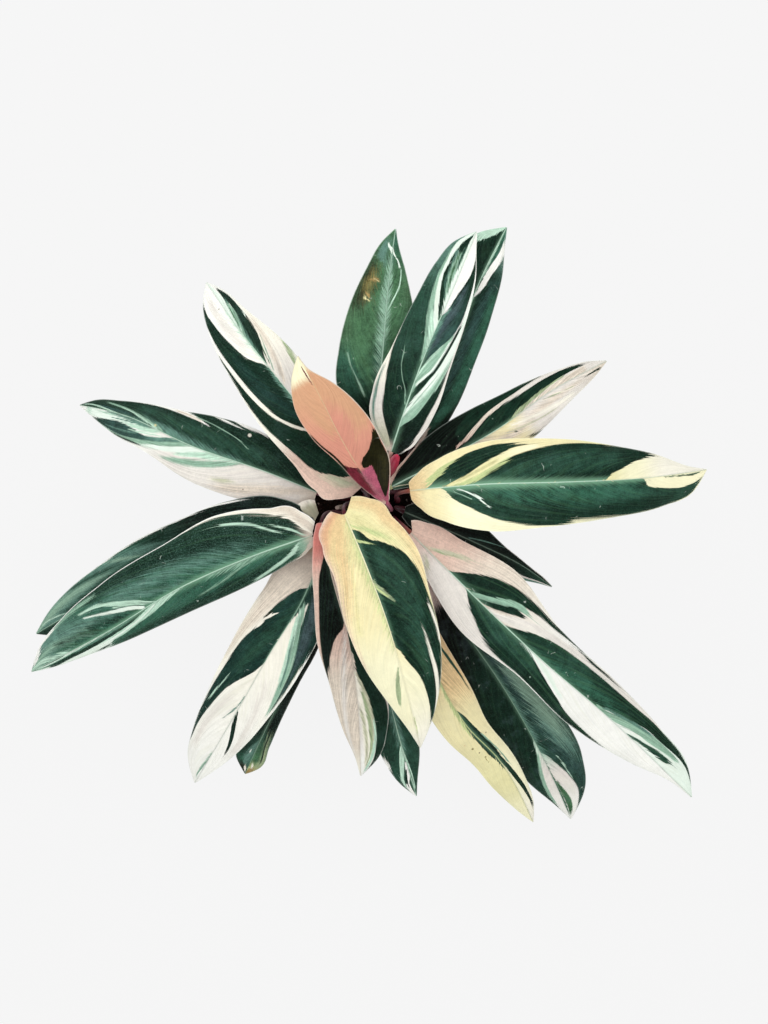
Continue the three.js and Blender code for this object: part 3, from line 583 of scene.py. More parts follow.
    "north_right": """
look lines .1 teeth .045
left 0=blush,6=black,20=dark,60=pine,100=mist
right 0=black,30=dark,70=white,100=white
L sage 3: 20 3 5, 25 14 16.5, 30 35 37, 35 52 54, 42 64 65
L sage 5: 39 -2 5, 45 4 15, 50 12 26, 55 22 39, 60 32 50, 65 40 58, 70 48 65, 76 56 70, 85 62 76, 93 62 84,
  100 50 90
L mint 6: 44 -2 4, 50 -2 16, 56 0 30, 60 10 36
L ice 4: 52 -2 2, 55 0 14, 58 8 24, 62 18 35, 66 30 45, 70 38 53, 75 48 60, 80 54 65, 86 57 72, 93 55 85,
  100 40 100
L dark 3: 57 -2 4, 62 6 20, 66 16 30, 70 28 40, 75 40 50, 80 44 54, 86 50 56
L sage 8: 63 -2 4, 70 0 22, 78 2 36, 86 5 42, 94 10 40
L ice 8: 60 -2 3, 66 -2 10, 74 -2 14, 84 -2 12, 100 -2 40
L moss 5: 70 12 15, 76 20 26, 83 28 34, 90 30 36
L pine 6: 80 12 15, 87 14 24, 94 16 30
L dark 6: 88 28 40, 91 26 56, 95 20 50, 98 20 30
L 2=lichen,18=pearl,30=cream 4: 2 35 110, 5 40 110, 10 50 110, 15 60 110, 20 68 110, 25 72 110, 30 80 110,
  35 90 110, 40 97 110, 50 100 110
L mist 6: 8 85 90, 20 86 94, 32 92 96
R 10=sage,30=mint,45=ice,70=ice 3: 10.5 -2 2, 13 -2 20, 16 -2 40, 20 8 52, 24 20 60, 28 30 70, 32 42 80,
  36 52 88, 42 66 95, 50 80 98, 60 88 98, 72 90 97
R sage 6: 15 26 36, 20 38 50, 26 52 64, 32 68 79, 38 82 90, 44 92 96
R ice 6: 15 -2 3, 18 2 14, 23 14 32, 28 30 50, 34 50 68, 42 70 86
R white 10: 28 36 40, 31 46 54, 34 58 62
R sage 5: 18 12 14, 24 28 31, 30 47 50, 36 66 68
R dark 3: 20 -2 3, 24 5 12, 28 15 25, 32 30 40, 36 45 56, 40 55 66, 45 66 74, 50 72 80, 58 82 90
R sage 4: 25 -2 2, 30 -2 14, 34 5 36, 38 10 50, 42 20 57, 46 35 63, 50 50 69, 54 66 74
R ice 5: 29 6 12, 33 22 31, 38 42 51, 44 56 61, 50 66 70
R mint 5: 31 -2 3, 36 6 12, 42 25 32, 48 44 50
R 35=dark,50=dusk,75=dark 4: 35 -2 3, 40 4 15, 44 -2 30, 48 -2 48, 52 -2 65, 57 -2 78, 62 15 85, 68 25 87,
  73 40 90, 78 58 93, 84 78 95, 88 90 96
R steel 20: 42 2 10, 50 10 32, 58 15 45, 66 32 56, 74 50 66
R mist 12: 42 -2 4, 50 -2 10, 57 2 14, 64 20 26
R pearl 4: 2 90 110, 8 84 110, 16 82 110, 24 87 110, 34 93 110, 60 97 110
""",
    "north_back": """
look lines .1 teeth .05 glow 7
left 0=black,100=dark
right 0=black,40=dark,75=dark,95=mist
L mint 5: 88 80 110, 92 50 110, 96 35 110, 100 20 110
R blush 10: -1 20 50, 5 20 45, 10 30 35
R dusk 40: 25 10 20, 40 15 50, 60 30 70, 75 50 80
R green 30: 10 30 50, 30 50 95, 50 60 100, 70 70 100
R white 4: 66 -2 2, 70 4 22, 74 8 34, 78 10 42, 82 20 60, 86 36 80, 89 50 98, 94 70 105
R green 10: 74 0 4, 80 2 14, 86 5 30, 92 10 50, 100 0 80
R mint 10: 74 -2 3, 84 -2 10, 94 -2 16, 100 -2 30
""",
    # Its broad soft mist marks beside the rib are a painted reflection.
    "north": """
look teeth .015 feathers .04 rims .5,.3 glow 4 glow_share .3
left 0=black,16=dark,34=green,50=fern,80=fern,100=moss
right 0=black,18=dark,30=green,70=fern,100=green
L mist 60: 25 -2 4, 50 -2 14, 70 -2 14, 92 -2 6
R mist 60: 25 -2 4, 50 -2 12, 70 -2 14, 92 -2 8
L moss 50: 25 10 20, 40 20 70, 60 20 80, 80 10 60
L sage 5: 20 36 38, 22 38 41.5, 28 52 55, 34 68 71, 39 78 80
L mist 30: 82 20 30, 88 30 80, 94 20 80
L olive 50: 60 70 90, 66 50 100, 74 50 100, 82 70 100
L ochre 50: 67 58 60, 70 52 74, 73 48 80, 76.5 58 66
L straw 8: 72.8 30 40, 73.5 32 70, 74.2 36 62, 75 50 56
L khaki 5: 63.6 46 48, 64 50 62, 64.8 60 68, 65.4 62 66
L straw 4: 65 50 52, 66.2 52 62, 67.5 64 68
L khaki 2: 72.8 32 34, 73.3 36 40, 74 46 50, 74.4 56 58
L sage 30: 30 -2 2, 50 -2 10, 70 -2 12, 86 -2 5
L ice 5: 87.5 0 4, 89.5 0 20, 91 18 36, 92.5 36 46
R moss 50: 25 -2 10, 45 -2 50, 65 0 60, 80 10 60
R mint 5: 59 2 5, 65 21 27, 70 42 48, 75 58 64, 80 68 74
R sage 30: 45 -2 3, 60 -2 10, 75 -2 12, 86 -2 5
R ice 5: 81 58 70, 83 54 66, 86 30 42, 89 0 16, 90.5 -2 6
""",
    "new_leaf": """
look teeth .02 rib khaki groove 0 streaks .25 lines 0 rib_from .34 tint 0 rims .3,.9 rim blush
  glow 4 glow_share .15 feathers .03 haze 0 dust 0
left 0=rose,8=rose,25=salmon,50=salmon,84=apricot,90=vanilla
right 0=rose,27=rose,31=salmon,60=salmon,80=apricot,88=apricot,95=vanilla
L apricot 40: 55 -2 30, 70 -2 60, 85 -2 60
L 0=pink,6=rose,14=maroon,30=maroon 5: -1 -2 110, 30 -2 110, 32 20 110, 34 50 110, 36 72 110, 38 85 110
L rose 20: 6 -2 40, 12 -2 30, 18 -2 16, 26 -2 10
L olive 5: 34 78 105, 38 80 100, 45 82 96, 50 87 97, 60 94 100
L maroon 4: 84 4 7, 87 6 11, 91 9 17, 94.5 17 22
R apricot 50: 50 50 80, 60 50 110, 75 30 110, 90 20 110
R olive 4: 4 30 60, 7 33 80, 10 32 90, 20 37 97, 27.5 38 100, 28.5 20 98, 31 12 97, 34 22 97, 37 50 97,
  42 75 99, 47 90 100
R bronze 30: 12 60 70, 20 65 85, 30 70 90
R pink 3: 2 90 110, 10 94 110, 25 97.5 110, 36 98.5 110
""",
}

# Size of the teeth of edges, shares of veins (their lines paint the light and shade of the pleats),
# painted sheen, dust and the like over the tones, painted shade in the groove along the midrib, and the
# midrib: width in millimetres of the glow beside it, its tone, and where along the rib it starts.
USUAL_LOOK = {
    "teeth": 0.05,
    "lines": 0.2,
    "haze": 0.14,
    "dust": 0.12,
    "tint": 0.22,
    "streaks": 1.0,
    "feathers": 0.12,
    "groove": 0.1,
    "glow": 6.0,
    "glow_share": 0.35,
    "rib": "mint",
    "rib_share": 1.0,
    "rib_from": 0.0,
    "rim": "ice",
    "rims": (0.2, 0.2),
}

# Tones of a stalk at its foot and below its blade. The usual ones are darkened as painted shade under the
# leaves, and rust is painted full light.
USUAL_STALK = ("burgundy", "wine")
STALK_TONES = {
    "east": ("maroon", "rust"),
    "west": ("burgundy", "maroon"),
    "north_right": ("maroon", "pink"),
    "northeast": ("burgundy", "lime"),
    "new_leaf": ("maroon", "rose"),
    "front": ("wine", "burgundy"),
    "southeast_long": ("maroon", "rust"),
}

# Web colour and use of each tone.
TONES = {
    "black": ("050b08", "Leaf green in deep shade"),
    "dark": ("0b261a", "Main dark green of the brush marks"),
    "pine": ("1f3f31", "Dark green with light on it"),
    "teal": ("133029", "Blue-green ground"),
    "dusk": ("2a4641", "Bluish dark green"),
    "steel": ("3a4b4e", "Grey blue sheen on the dark green"),
    "green": ("2c5845", "Middle green"),
    "moss": ("3f6645", "Lighter, warmer green"),
    "fern": ("456748", "Warm green of the back leaf"),
    "mist": ("5a7e71", "Grey green between dark and sage"),
    "sage": ("87a993", "Pale grey green"),
    "glow": ("7fae8e", "Light green beside the midrib"),
    "mint": ("b0cfba", "Pale green streaks"),
    "ice": ("deebdf", "Nearly white green"),
    "lichen": ("b5b79c", "Greyish yellow green"),
    "khaki": ("d2cc98", "Greenish tan"),
    "fawn": ("93a27e", "Olive sage"),
    "bronze": ("2c2b10", "Brownish green"),
    "lime": ("b4c088", "Yellow green"),
    "cream": ("eeeadb", "Warm white of the blades"),
    "white": ("efefe9", "Coldest white of the blades"),
    "blush": ("d2c7b7", "Greyish pink white"),
    "pearl": ("dad5cd", "Grey white"),
    "pink": ("d0b4a4", "Pink at the base of a blade"),
    "yellow": ("e5dbab", "Pale yellow"),
    "lemon": ("e2dca8", "Greenish pale yellow"),
    "vanilla": ("eeeac6", "Yellowish white"),
    "peach": ("d3b889", "Tan yellow"),
    "apricot": ("cb9c7a", "Tip of the young leaf"),
    "coral": ("cf8076", "Warm pink of a margin"),
    "salmon": ("cf907c", "Young leaf"),
    "rose": ("a9566c", "Magenta pink"),
    "rust": ("7a4230", "Stalk in full light"),
    "crimson": ("c2284c", "Rolled young leaf"),
    "maroon": ("641f2c", "Dark red pink"),
    "wine": ("2e0e14", "Stalk in the shade of the leaves"),
    "olive": ("1b1a06", "Dark brown green"),
    "ochre": ("7a7040", "Blemish"),
    "straw": ("97804f", "Dried edge"),
    "burgundy": ("4a1620", "Underside of the blades"),
    "flesh": ("a0525f", "Underside below the pale parts"),
    "stoneware": ("8d867c", "Glaze of the pot"),
    "clay": ("6b5a4c", "Darker specks and foot of the pot"),
    # Earth, bark and perlite are darker than their own colours: painted shade under the leaves.
    "earth": ("140e0a", "Potting soil"),
    "bark": ("291a11", "Bark in the soil"),
    "perlite": ("8d887e", "White grains in the soil"),
}

# Sign of each half's distance from the rib.
HALVES = {"L": -1.0, "R": 1.0}


def hundredths(word):
    return round(float(word) / 100, 5)


def read_setting(word):
    """A tone, a number, or numbers with a comma between."""
    if word[0].isalpha():
        return word
    values = [float(part) for part in word.split(",")]
    return values if len(values) > 1 else values[0]


def read_tones(word):
    """One tone, or tones at hundredths of the rib, as in 0=pink,34=cream."""
    if "=" not in word:
        return word
    stops = [stop.split("=") for stop in word.split(",")]
    return [(hundredths(place), name) for place, name in stops]


def read_marking(text):
    """Look, ground tones, spots and brush marks of one blade."""
    marking = {**USUAL_LOOK, "spots": [], "marks": []}
    joined = text.replace("\n  ", " ").replace(", ", ",")
    for row in joined.strip().splitlines():
        head, _, points = row.partition(":")
        first, *rest = head.split()
        if points:
            tones, softness = rest
            places = [tuple(map(hundredths, point.split())) for point in points.split(",")]
            marking["marks"].append((HALVES[first], read_tones(tones), hundredths(softness), places))
        elif first == "look":
            marking.update(zip(rest[::2], map(read_setting, rest[1::2])))
        elif first == "spot":
            half, along, share, width, name = rest
            place = hundredths(along), HALVES[half] * hundredths(share)
            marking["spots"].append((place, float(width), name))
        else:
            marking[first] = read_tones(*rest)
    return marking


LEAVES = {name: dict(zip(LEAF_KEYS, sizes)) for name, sizes in LEAF_SIZES.items()}
MARKINGS = {name: read_marking(text) for name, text in MARK_TABLES.items()}
NUMBERS = {name: number for number, name in enumerate(LEAVES)}
MARKING_SEEDS = {name: number * 1.7 for name, number in NUMBERS.items()}
STALK_SEEDS = {name: number * 2.3 for name, number in NUMBERS.items()}


# ---------------------------------------------------------------- settings


def linear(code):
    """Linear colour of a web colour such as 17352b."""
    channels = [int(code[at : at + 2], 16) / 255 for at in (0, 2, 4)]
    return tuple(((c + 0.055) / 1.055) ** 2.4 if c > 0.04045 else c / 12.92 for c in channels)


def colour(name, code, description):
    """A colour setting of the add-on."""
    return bpy.props.FloatVectorProperty(
        name=name.capitalize(), description=description, default=linear(code), subtype="COLOR", min=0, max=1
    )


def length(name, default, description):
    """A size setting of the add-on."""
    return bpy.props.FloatProperty(name=name, description=description, default=default, unit="LENGTH")


def count(name, default, description, low, high):
    """A setting of the add-on for how many there are of something."""
    return bpy.props.IntProperty(name=name, description=description, default=default, min=low, max=high)


class StromantheTones(bpy.types.PropertyGroup):
    """Colours of the leaves, stalks, pot and soil."""

    __annotations__ = {name: colour(name, *values) for name, values in TONES.items()}


class StromantheSizes(bpy.types.PropertyGroup):
    """Sizes of the detail that the visual pieces add."""

    blade_rows: count("Blade rows", 132, "Faces along a blade", 40, 240)
    blade_columns: count("Blade columns", 44, "Faces across a blade", 16, 96)
    blade_thickness: length("Blade thickness", 0.65 * MM, "Between the faces")
    pleat_height: length("Pleat height", 0.35 * MM, "Of the folds along the veins")
    rib_height: length("Rib height", 1.1 * MM, "Of the midrib on the underside")
    rib_width: length("Rib width", 1.15 * MM, "Of the pale midrib at the base")
    vein_count: count("Veins", 14, "Side veins along one half of a blade", 10, 200)
    floor_size: length("Floor size", 14, "Side of the floor")


def tone(name):
    return tuple(getattr(bpy.context.scene.stromanthe_tones, name))


# ---------------------------------------------------------------- leaf form


def knot_slopes(at, values):
    """Slopes of a smooth curve through values at uneven knots."""
    steps = np.diff(at)
    rises = np.diff(values) / steps
    slopes = np.zeros(len(values))
    slopes[1:-1] = (rises[:-1] * steps[1:] + rises[1:] * steps[:-1]) / (steps[1:] + steps[:-1])
    slopes[0] = 1.5 * rises[0] - 0.5 * slopes[1]
    slopes[-1] = 1.5 * rises[-1] - 0.5 * slopes[-2]
    return slopes


def smooth_curve(at, values, where):
    """Value, at each place, of the smooth curve through values at uneven knots."""
    slopes = knot_slopes(at, values)
    knot = np.clip(np.searchsorted(at, where, side="left") - 1, 0, len(at) - 2)
    step = at[knot + 1] - at[knot]
    u = (where - at[knot]) / step
    near = (2 * u**3 - 3 * u**2 + 1) * values[knot] + (u**3 - 2 * u**2 + u) * step * slopes[knot]
    far = (3 * u**2 - 2 * u**3) * values[knot + 1] + (u**3 - u**2) * step * slopes[knot + 1]
    return near + far


def chord_lengths(points):
    return np.linalg.norm(np.diff(points, axis=0), axis=1)


def spline(points, share):
    """Points of a smooth curve through a few given points."""
    points = np.array(points, float)
    chords = chord_lengths(points)
    knots = np.concatenate([[0], np.cumsum(chords)]) / chords.sum()
    return np.stack([smooth_curve(knots, column, share) for column in points.T], -1)


def eased(value, low, high):
    u = np.clip((value - low) / (high - low), 0, 1)
    return u * u * (3 - 2 * u)


def smooth_noise(x, seed):
    """Soft noise of a row of numbers, between -1 and 1."""
    return np.array([noise.noise(Vector((float(value), seed * 3.71, 0.5))) for value in x])


class LeafForm:
    """Surface of one blade, in millimetres, by its share along the rib and across a half."""

    def __init__(self, name):
        self.leaf = LEAVES[name]
        self.length = float(chord_lengths(self.leaf["rib"]).sum())
        self.widest = max(self.leaf["left"] + self.leaf["right"])

    def rib(self, along):
        return spline(self.leaf["rib"], along)

    def spread(self, side, along):
        """Width of one half at its share along the rib."""
        widths = np.array((BASE_HALF_WIDTH, *self.leaf[side], TIP_HALF_WIDTH))
        base = widths[0] + (widths[1] - widths[0]) * np.sqrt(np.clip(along, 0, 1) / STATIONS[1])
        rest = smooth_curve(np.array(STATIONS), widths, along)
        return np.where(along < STATIONS[1], base, np.maximum(TIP_HALF_WIDTH, rest))

    def spreads(self, along, across):
        """Width of the half that each place lies on."""
        return np.where(across >= 0, self.spread("right", along), self.spread("left", along))

    def reach(self, along, across):
        """Signed distance from the rib."""
        return across * self.spreads(along, across)

    def heading(self, along):
        """Level direction of the rib."""
        step = 0.004
        ahead = self.rib(np.minimum(1, along + step)) - self.rib(np.maximum(0, along - step))
        ahead[..., 2] = 0
        return ahead / np.linalg.norm(ahead, axis=-1, keepdims=True)

    def surface(self, along, across):
        """Points of the blade's middle surface."""
        share = np.abs(across)
        right = across >= 0
        ahead = self.heading(along)
        sign = np.where(right, -1, 1)
        outward = np.stack([-ahead[..., 1] * sign, ahead[..., 0] * sign, 0 * share], -1)
        spread = self.spreads(along, across)
        reach = share * spread
        fullness = 1 - BASE_HALF_WIDTH / np.maximum(BASE_HALF_WIDTH, spread)
        lobe = np.where(right, self.leaf["lobes"][1], self.leaf["lobes"][0])
        back = lobe * fullness * np.maximum(0, 1 - along / LOBE_LENGTH) ** 2 * share**1.5
        tilt = np.where(right, self.leaf["tilt"][1], self.leaf["tilt"][0])
        waves, start = self.leaf["wave"]
        ripple = np.sin(2 * np.pi * (waves * along + start + RIGHT_WAVE_SHIFT * right))
        height = reach * np.tan(np.radians(tilt)) + BULGE * spread * (share - share**2)
        height += WAVE_HEIGHT * ripple * share**2 * (spread / self.widest)
        place = self.rib(along) + outward * reach[..., None] - ahead * back[..., None]
        place[..., 2] += height
        return place


# ---------------------------------------------------------------- node helpers


class Signal:
    """What a socket puts out, with signs of arithmetic that add math nodes to its tree."""

    def __init__(self, socket):
        self.socket = socket
        self.tree = socket.id_data

    def __add__(self, other):
        return calculate("ADD", self, other)

    def __sub__(self, other):
        return calculate("SUBTRACT", self, other)

    def __rsub__(self, other):
        return calculate("SUBTRACT", other, self)

    def __mul__(self, other):
        return calculate("MULTIPLY", self, other)

    def __truediv__(self, other):
        return calculate("DIVIDE", self, other)

    def __pow__(self, other):
        return calculate("POWER", self, other)

    def __gt__(self, other):
        return calculate("GREATER_THAN", self, other)

    def __abs__(self):
        return calculate("ABSOLUTE", self)


def tree_of(values):
    """The tree of the first signal among the values."""
    return next(value.tree for value in values if isinstance(value, Signal))


def feed(value, socket):
    """Sets a socket, or links a signal to it."""
    if isinstance(value, Signal):
        value.tree.links.new(value.socket, socket)
    elif socket.type == "RGBA":
        socket.default_value = (*value, 1)
    else:
        socket.default_value = value


def add_node(kind, *values, **settings):
    """A node with its settings, and with the values in its first sockets."""
    node = tree_of(values).nodes.new("ShaderNode" + kind)
    for name, value in settings.items():
        setattr(node, name, value)
    for value, socket in zip(values, node.inputs):
        feed(value, socket)
    return node


def calculate(operation, *values):
    return Signal(add_node("Math", *values, operation=operation).outputs[0])


def least(first, second):
    return calculate("MINIMUM", first, second)


def most(first, second):
    return calculate("MAXIMUM", first, second)


def soft_step(value, low, high):
    """0 below low, 1 above high."""
    return Signal(add_node("MapRange", value, low, high, interpolation_type="SMOOTHSTEP").outputs[0])


def blend(share, first, second, kind="MIX"):
    """The first colour, with a share of the second over it."""
    node = tree_of((share, first, second)).nodes.new("ShaderNodeMix")
    node.data_type = "RGBA"
    node.blend_type = kind
    for value, number in ((share, 0), (first, 6), (second, 7)):
        feed(value, node.inputs[number])
    return Signal(node.outputs[2])


def noise_of(where, scale, detail=2, roughness=0.5, row=False):
    """Noise in space, or along a row of numbers."""
    node = where.tree.nodes.new("ShaderNodeTexNoise")
    node.noise_dimensions = "1D" if row else "3D"
    feed(where, node.inputs["W" if row else "Vector"])
    for label, value in (("Scale", scale), ("Detail", detail), ("Roughness", roughness)):
        node.inputs[label].default_value = value
    return Signal(node.outputs[0])


def spots_of(where, scale, size):
    """Round spots of a size between 0 and 1 in cells, and three chances of each cell."""
    node = where.tree.nodes.new("ShaderNodeTexVoronoi")
    node.inputs["Scale"].default_value = scale
    feed(where, node.inputs["Vector"])
    spot = 1 - soft_step(Signal(node.outputs["Distance"]), size, 2 * size)
    return spot, separate(Signal(node.outputs["Color"]))


def combine(x, y, z=0.0):
    return Signal(add_node("CombineXYZ", x, y, z).outputs[0])


def separate(vector):
    return [Signal(socket) for socket in add_node("SeparateXYZ", vector).outputs]


def curve_of(where, points):
    """Value of a smooth curve of points (place, value)."""
    node = where.tree.nodes.new("ShaderNodeFloatCurve")
    node.mapping.use_clip = False
    node.mapping.extend = "HORIZONTAL"
    handles = node.mapping.curves[0].points
    while len(handles) < len(points):
        handles.new(0.5, 0.5)
    for handle, place in zip(handles, sorted(points)):
        handle.location = place
        handle.handle_type = "AUTO_CLAMPED"
    node.mapping.update()
    feed(where, node.inputs["Value"])
    return Signal(node.outputs[0])


def pigment(where, tones):
    """One tone, or tones that follow one another along the rib."""
    if isinstance(tones, str):
        return tone(tones)
    node = add_node("ValToRGB", where)
    ramp = node.color_ramp
    ramp.interpolation = "EASE"
    while len(ramp.elements) < len(tones):
        ramp.elements.new(0.5)
    for element, (place, name) in zip(ramp.elements, tones):
        element.position = place
        element.color = (*tone(name), 1)
    return Signal(node.outputs[0])


def bumps(*layers):
    """A normal from reliefs on one another, each with its height in millimetres and strength."""
    normal = None
    for relief, height, strength in layers:
        node = relief.tree.nodes.new("ShaderNodeBump")
        node.inputs["Strength"].default_value = strength
        node.inputs["Distance"].default_value = height * MM
        feed(relief, node.inputs["Height"])
        if normal:
            feed(normal, node.inputs["Normal"])
        normal = Signal(node.outputs[0])
    return normal


SOCKET_KINDS = {
    "Below": "Color",
    "Tone": "Color",
    "Colour": "Color",
    "Place": "Vector",
    "Share map": "Vector",
    "Size map": "Vector",
}


def start_group(name, inputs, outputs):
    """A shader group with named sockets, given with commas between: what goes in, by name."""
    tree = bpy.data.node_groups.new(name, "ShaderNodeTree")
    for way, labels in (("INPUT", inputs), ("OUTPUT", outputs)):
        for label in labels.split(", "):
            kind = "NodeSocket" + SOCKET_KINDS.get(label, "Float")
            tree.interface.new_socket(name=label, in_out=way, socket_type=kind)
    entry = tree.nodes.new("NodeGroupInput")
    return {label: Signal(entry.outputs[label]) for label in inputs.split(", ")}


def end_group(**results):
    leave = tree_of(results.values()).nodes.new("NodeGroupOutput")
    for label, value in results.items():
        feed(value, leave.inputs[label])


def place_group(name, **values):
    """A group with those of the values that it has a socket for: what comes out, by name."""
    node = tree_of(values.values()).nodes.new("ShaderNodeGroup")
    node.node_tree = bpy.data.node_groups[name]
    for label, value in values.items():
        socket = node.inputs.get(label.replace("_", " "))
        if socket:
            feed(value, socket)
    return {socket.name: Signal(socket) for socket in node.outputs}


def start_material(name):
    """A material with its shader, and where a point lies on the piece."""
    material = bpy.data.materials.new(name)
    material.use_nodes = True
    tree = material.node_tree
    place = Signal(tree.nodes.new("ShaderNodeTexCoord").outputs["Object"])
    return material, tree.nodes["Principled BSDF"], place


def uv_map(tree, name):
    node = tree.nodes.new("ShaderNodeUVMap")
    node.uv_map = name
    return Signal(node.outputs[0])


def finish_shader(shader, paint, roughness, specular, normal):
    feed(paint, shader.inputs["Base Color"])
    feed(roughness, shader.inputs["Roughness"])
    shader.inputs["Specular IOR Level"].default_value = specular
    feed(normal, shader.inputs["Normal"])


# ---------------------------------------------------------------- shared effects


def make_leaf_directions():
    """Where a point lies on a blade: along the rib, across a half and along its side veins."""
    entry = start_group("Leaf directions", "Share map", "Along, Side, Share, Vein")
    along, across, _ = separate(entry["Share map"])
    side = across * 2 - 1
    share = abs(side)
    vein = along - share * VEIN_SLANT - share**4 * VEIN_HOOK
    end_group(Along=along, Side=side, Share=share, Vein=vein)


def make_vein_teeth():
    """Shifts the pattern along the side veins, so that its edges end in teeth."""
    entry = start_group("Vein teeth", "Along, Side, Share, Vein, Size, Seed", "Along, Share")
    where = calculate("SIGN", entry["Side"]) * 7.3 + entry["Seed"] + entry["Vein"]
    broad = noise_of(where, 26, detail=1, row=True) - 0.5
    fine = noise_of(where, 95, detail=1, row=True) - 0.5
    spike = (fine * 2.6) ** 3 * 1.6
    shift = (broad * 1.2 + spike + fine * 0.8) * entry["Size"]
    slope = entry["Share"] ** 3 * (4 * VEIN_HOOK) + VEIN_SLANT
    end_group(Along=shift * slope + entry["Along"], Share=entry["Share"] + shift)


def make_brush_mark():
    """Paints one mark of the variegation over the colour below it."""
    entry = start_group(
        "Brush mark",
        "Below, Tone, Along, Side, Share, Inner edge, Outer edge, Start, End, Half, Softness, Fray",
        "Colour",
    )
    along, share, softness = entry["Along"], entry["Share"], entry["Softness"]
    end_sharpness = 4
    inside = least(share - entry["Inner edge"], entry["Outer edge"] - share)
    inside = least(inside, (along - entry["Start"]) * end_sharpness)
    inside = least(inside, (entry["End"] - along) * end_sharpness)
    inside = entry["Fray"] * softness + inside
    mask = soft_step(inside, softness * -0.4, softness * 0.4)
    this_half = entry["Side"] * entry["Half"] > 0
    end_group(Colour=blend(mask * this_half, entry["Below"], entry["Tone"]))


def make_leaf_veins():
    """Side veins: their relief, lines on its crests that paint the light and shade of the pleats, broad
    streaks between them, and fine hairs along them.
    """
    entry = start_group(
        "Leaf veins", "Vein, Share, Side, Count, Seed", "Relief, Lines, Streaks, Hairs, Scratches"
    )
    vein, share = entry["Vein"], entry["Share"]
    row = vein + (calculate("SIGN", entry["Side"]) * 5.1 + entry["Seed"])

    def drawn_out(across, along, level=0.0, detail=1, roughness=0.5):
        """Noise with so many grains across the veins and along them."""
        return noise_of(combine(row * across, share * along, level), 1, detail, roughness)

    turns = drawn_out(9, 1) * 3 + vein * entry["Count"]
    relief = calculate("COSINE", turns * (2 * math.pi)) * 0.5 + 0.5
    end_group(
        Relief=relief,
        # Lines on the crests of the relief: painted light and shade of the pleats.
        Lines=relief**5 * soft_step(drawn_out(31, 2.2, 7), 0.25, 0.55),
        Streaks=drawn_out(62, 1.6),
        Hairs=drawn_out(210, 4, 4, 3, 0.65),
        Scratches=soft_step(drawn_out(150, 9, 9), 0.68, 0.78),
    )


def make_midrib():
    """The pale midrib, painted shade in the groove along it, the soft glow beside it and the thin rim of the
    blade.
    """
    entry = start_group(
        "Midrib and rim", "Size map, Along, Share, Width, Glow, Hairs", "Line, Groove, Glow, Rim"
    )
    reach = abs(separate(entry["Size map"])[1])
    taper = entry["Along"] * -0.7 + 1
    edge = entry["Width"] * 0.5 * taper
    line = soft_step(edge - reach, -0.3 * MM, 0.2 * MM)
    # A band along the midrib for painted shade in its groove.
    groove = 1 - soft_step(reach - edge, 0.2 * MM, 1.4 * MM)
    ragged = entry["Glow"] * taper * (entry["Hairs"] * 1.4 + 0.3)
    near = most(1 - reach / ragged, 0)
    margin = reach / most(entry["Share"], 0.02) - reach
    rim = 1 - soft_step(margin, 0.25 * MM, 0.9 * MM)
    end_group(Line=line, Groove=groove, Glow=near**1.5, Rim=rim)


def make_leaf_grain():
    """Fine cell relief, pale dust, sparse pale specks, dark freckles and short scratches."""
    entry = start_group("Leaf grain", "Place", "Relief, Dust, Specks, Freckles, Scratches")
    place = entry["Place"]
    spot, (chance, _, _) = spots_of(place, 60, 0.035)
    thin = 1 - soft_step(abs(noise_of(place, 95, detail=1) - 0.5), 0.003, 0.014)
    rare = soft_step(noise_of(place, 110, detail=1), 0.67, 0.73)
    end_group(
        Relief=noise_of(place, 800, roughness=0.7),
        Dust=soft_step(noise_of(place, 1000, roughness=0.7), 0.45, 0.7),
        Specks=spot * (chance > 0.9),
        Freckles=spot * (chance > 0.88),
        Scratches=thin * rare,
    )


def make_soft_mottle():
    """Large, middling and small soft patches of more or less of something."""
    place = start_group("Soft mottle", "Place", "Broad, Cloud, Fine")["Place"]
    end_group(
        Broad=noise_of(place, 22), Cloud=noise_of(place, 65, 3, 0.6), Fine=noise_of(place, 190, 4, 0.7)
    )


def make_markings(name):
    """A group with the variegation of one blade."""
    marking = MARKINGS[name]
    entry = start_group("Markings " + name, "Along, Side, Share, Vein, Hairs", "Colour")
    jagged = place_group("Vein teeth", **entry, Size=marking["teeth"], Seed=MARKING_SEEDS[name])
    along, share, side = jagged["Along"], jagged["Share"], entry["Side"]
    fray = entry["Hairs"] * 3 - 1.5
    paint = blend(side > 0, pigment(along, marking["left"]), pigment(along, marking["right"]))
    for half, tones, softness, points in marking["marks"]:
        starts, inner, outer = zip(*points)
        paint = place_group(
            "Brush mark",
            Below=paint,
            Tone=pigment(along, tones),
            Along=along,
            Side=side,
            Share=share,
            Inner_edge=curve_of(along, list(zip(starts, inner))),
            Outer_edge=curve_of(along, list(zip(starts, outer))),
            Start=min(starts),
            End=max(starts) if max(starts) < 1 else 1.2,
            Half=half,
            Softness=softness,
            Fray=fray,
        )["Colour"]
    end_group(Colour=paint)


SHARED_EFFECTS = (
    make_leaf_directions,
    make_vein_teeth,
    make_brush_mark,
    make_leaf_veins,
    make_midrib,
    make_leaf_grain,
    make_soft_mottle,
)


# ---------------------------------------------------------------- materials


def blade_paint(tree, name):
    """Directions on a blade, its veins, its variegation and how pale that is."""
    where = place_group("Leaf directions", Share_map=uv_map(tree, "share"))
    vein_count = bpy.context.scene.stromanthe_sizes.vein_count
    veins = place_group("Leaf veins", **where, Count=vein_count, Seed=MARKING_SEEDS[name])
    paint = place_group("Markings " + name, **where, Hairs=veins["Hairs"])["Colour"]
    return where, veins, paint, Signal(add_node("RGBToBW", paint).outputs[0])


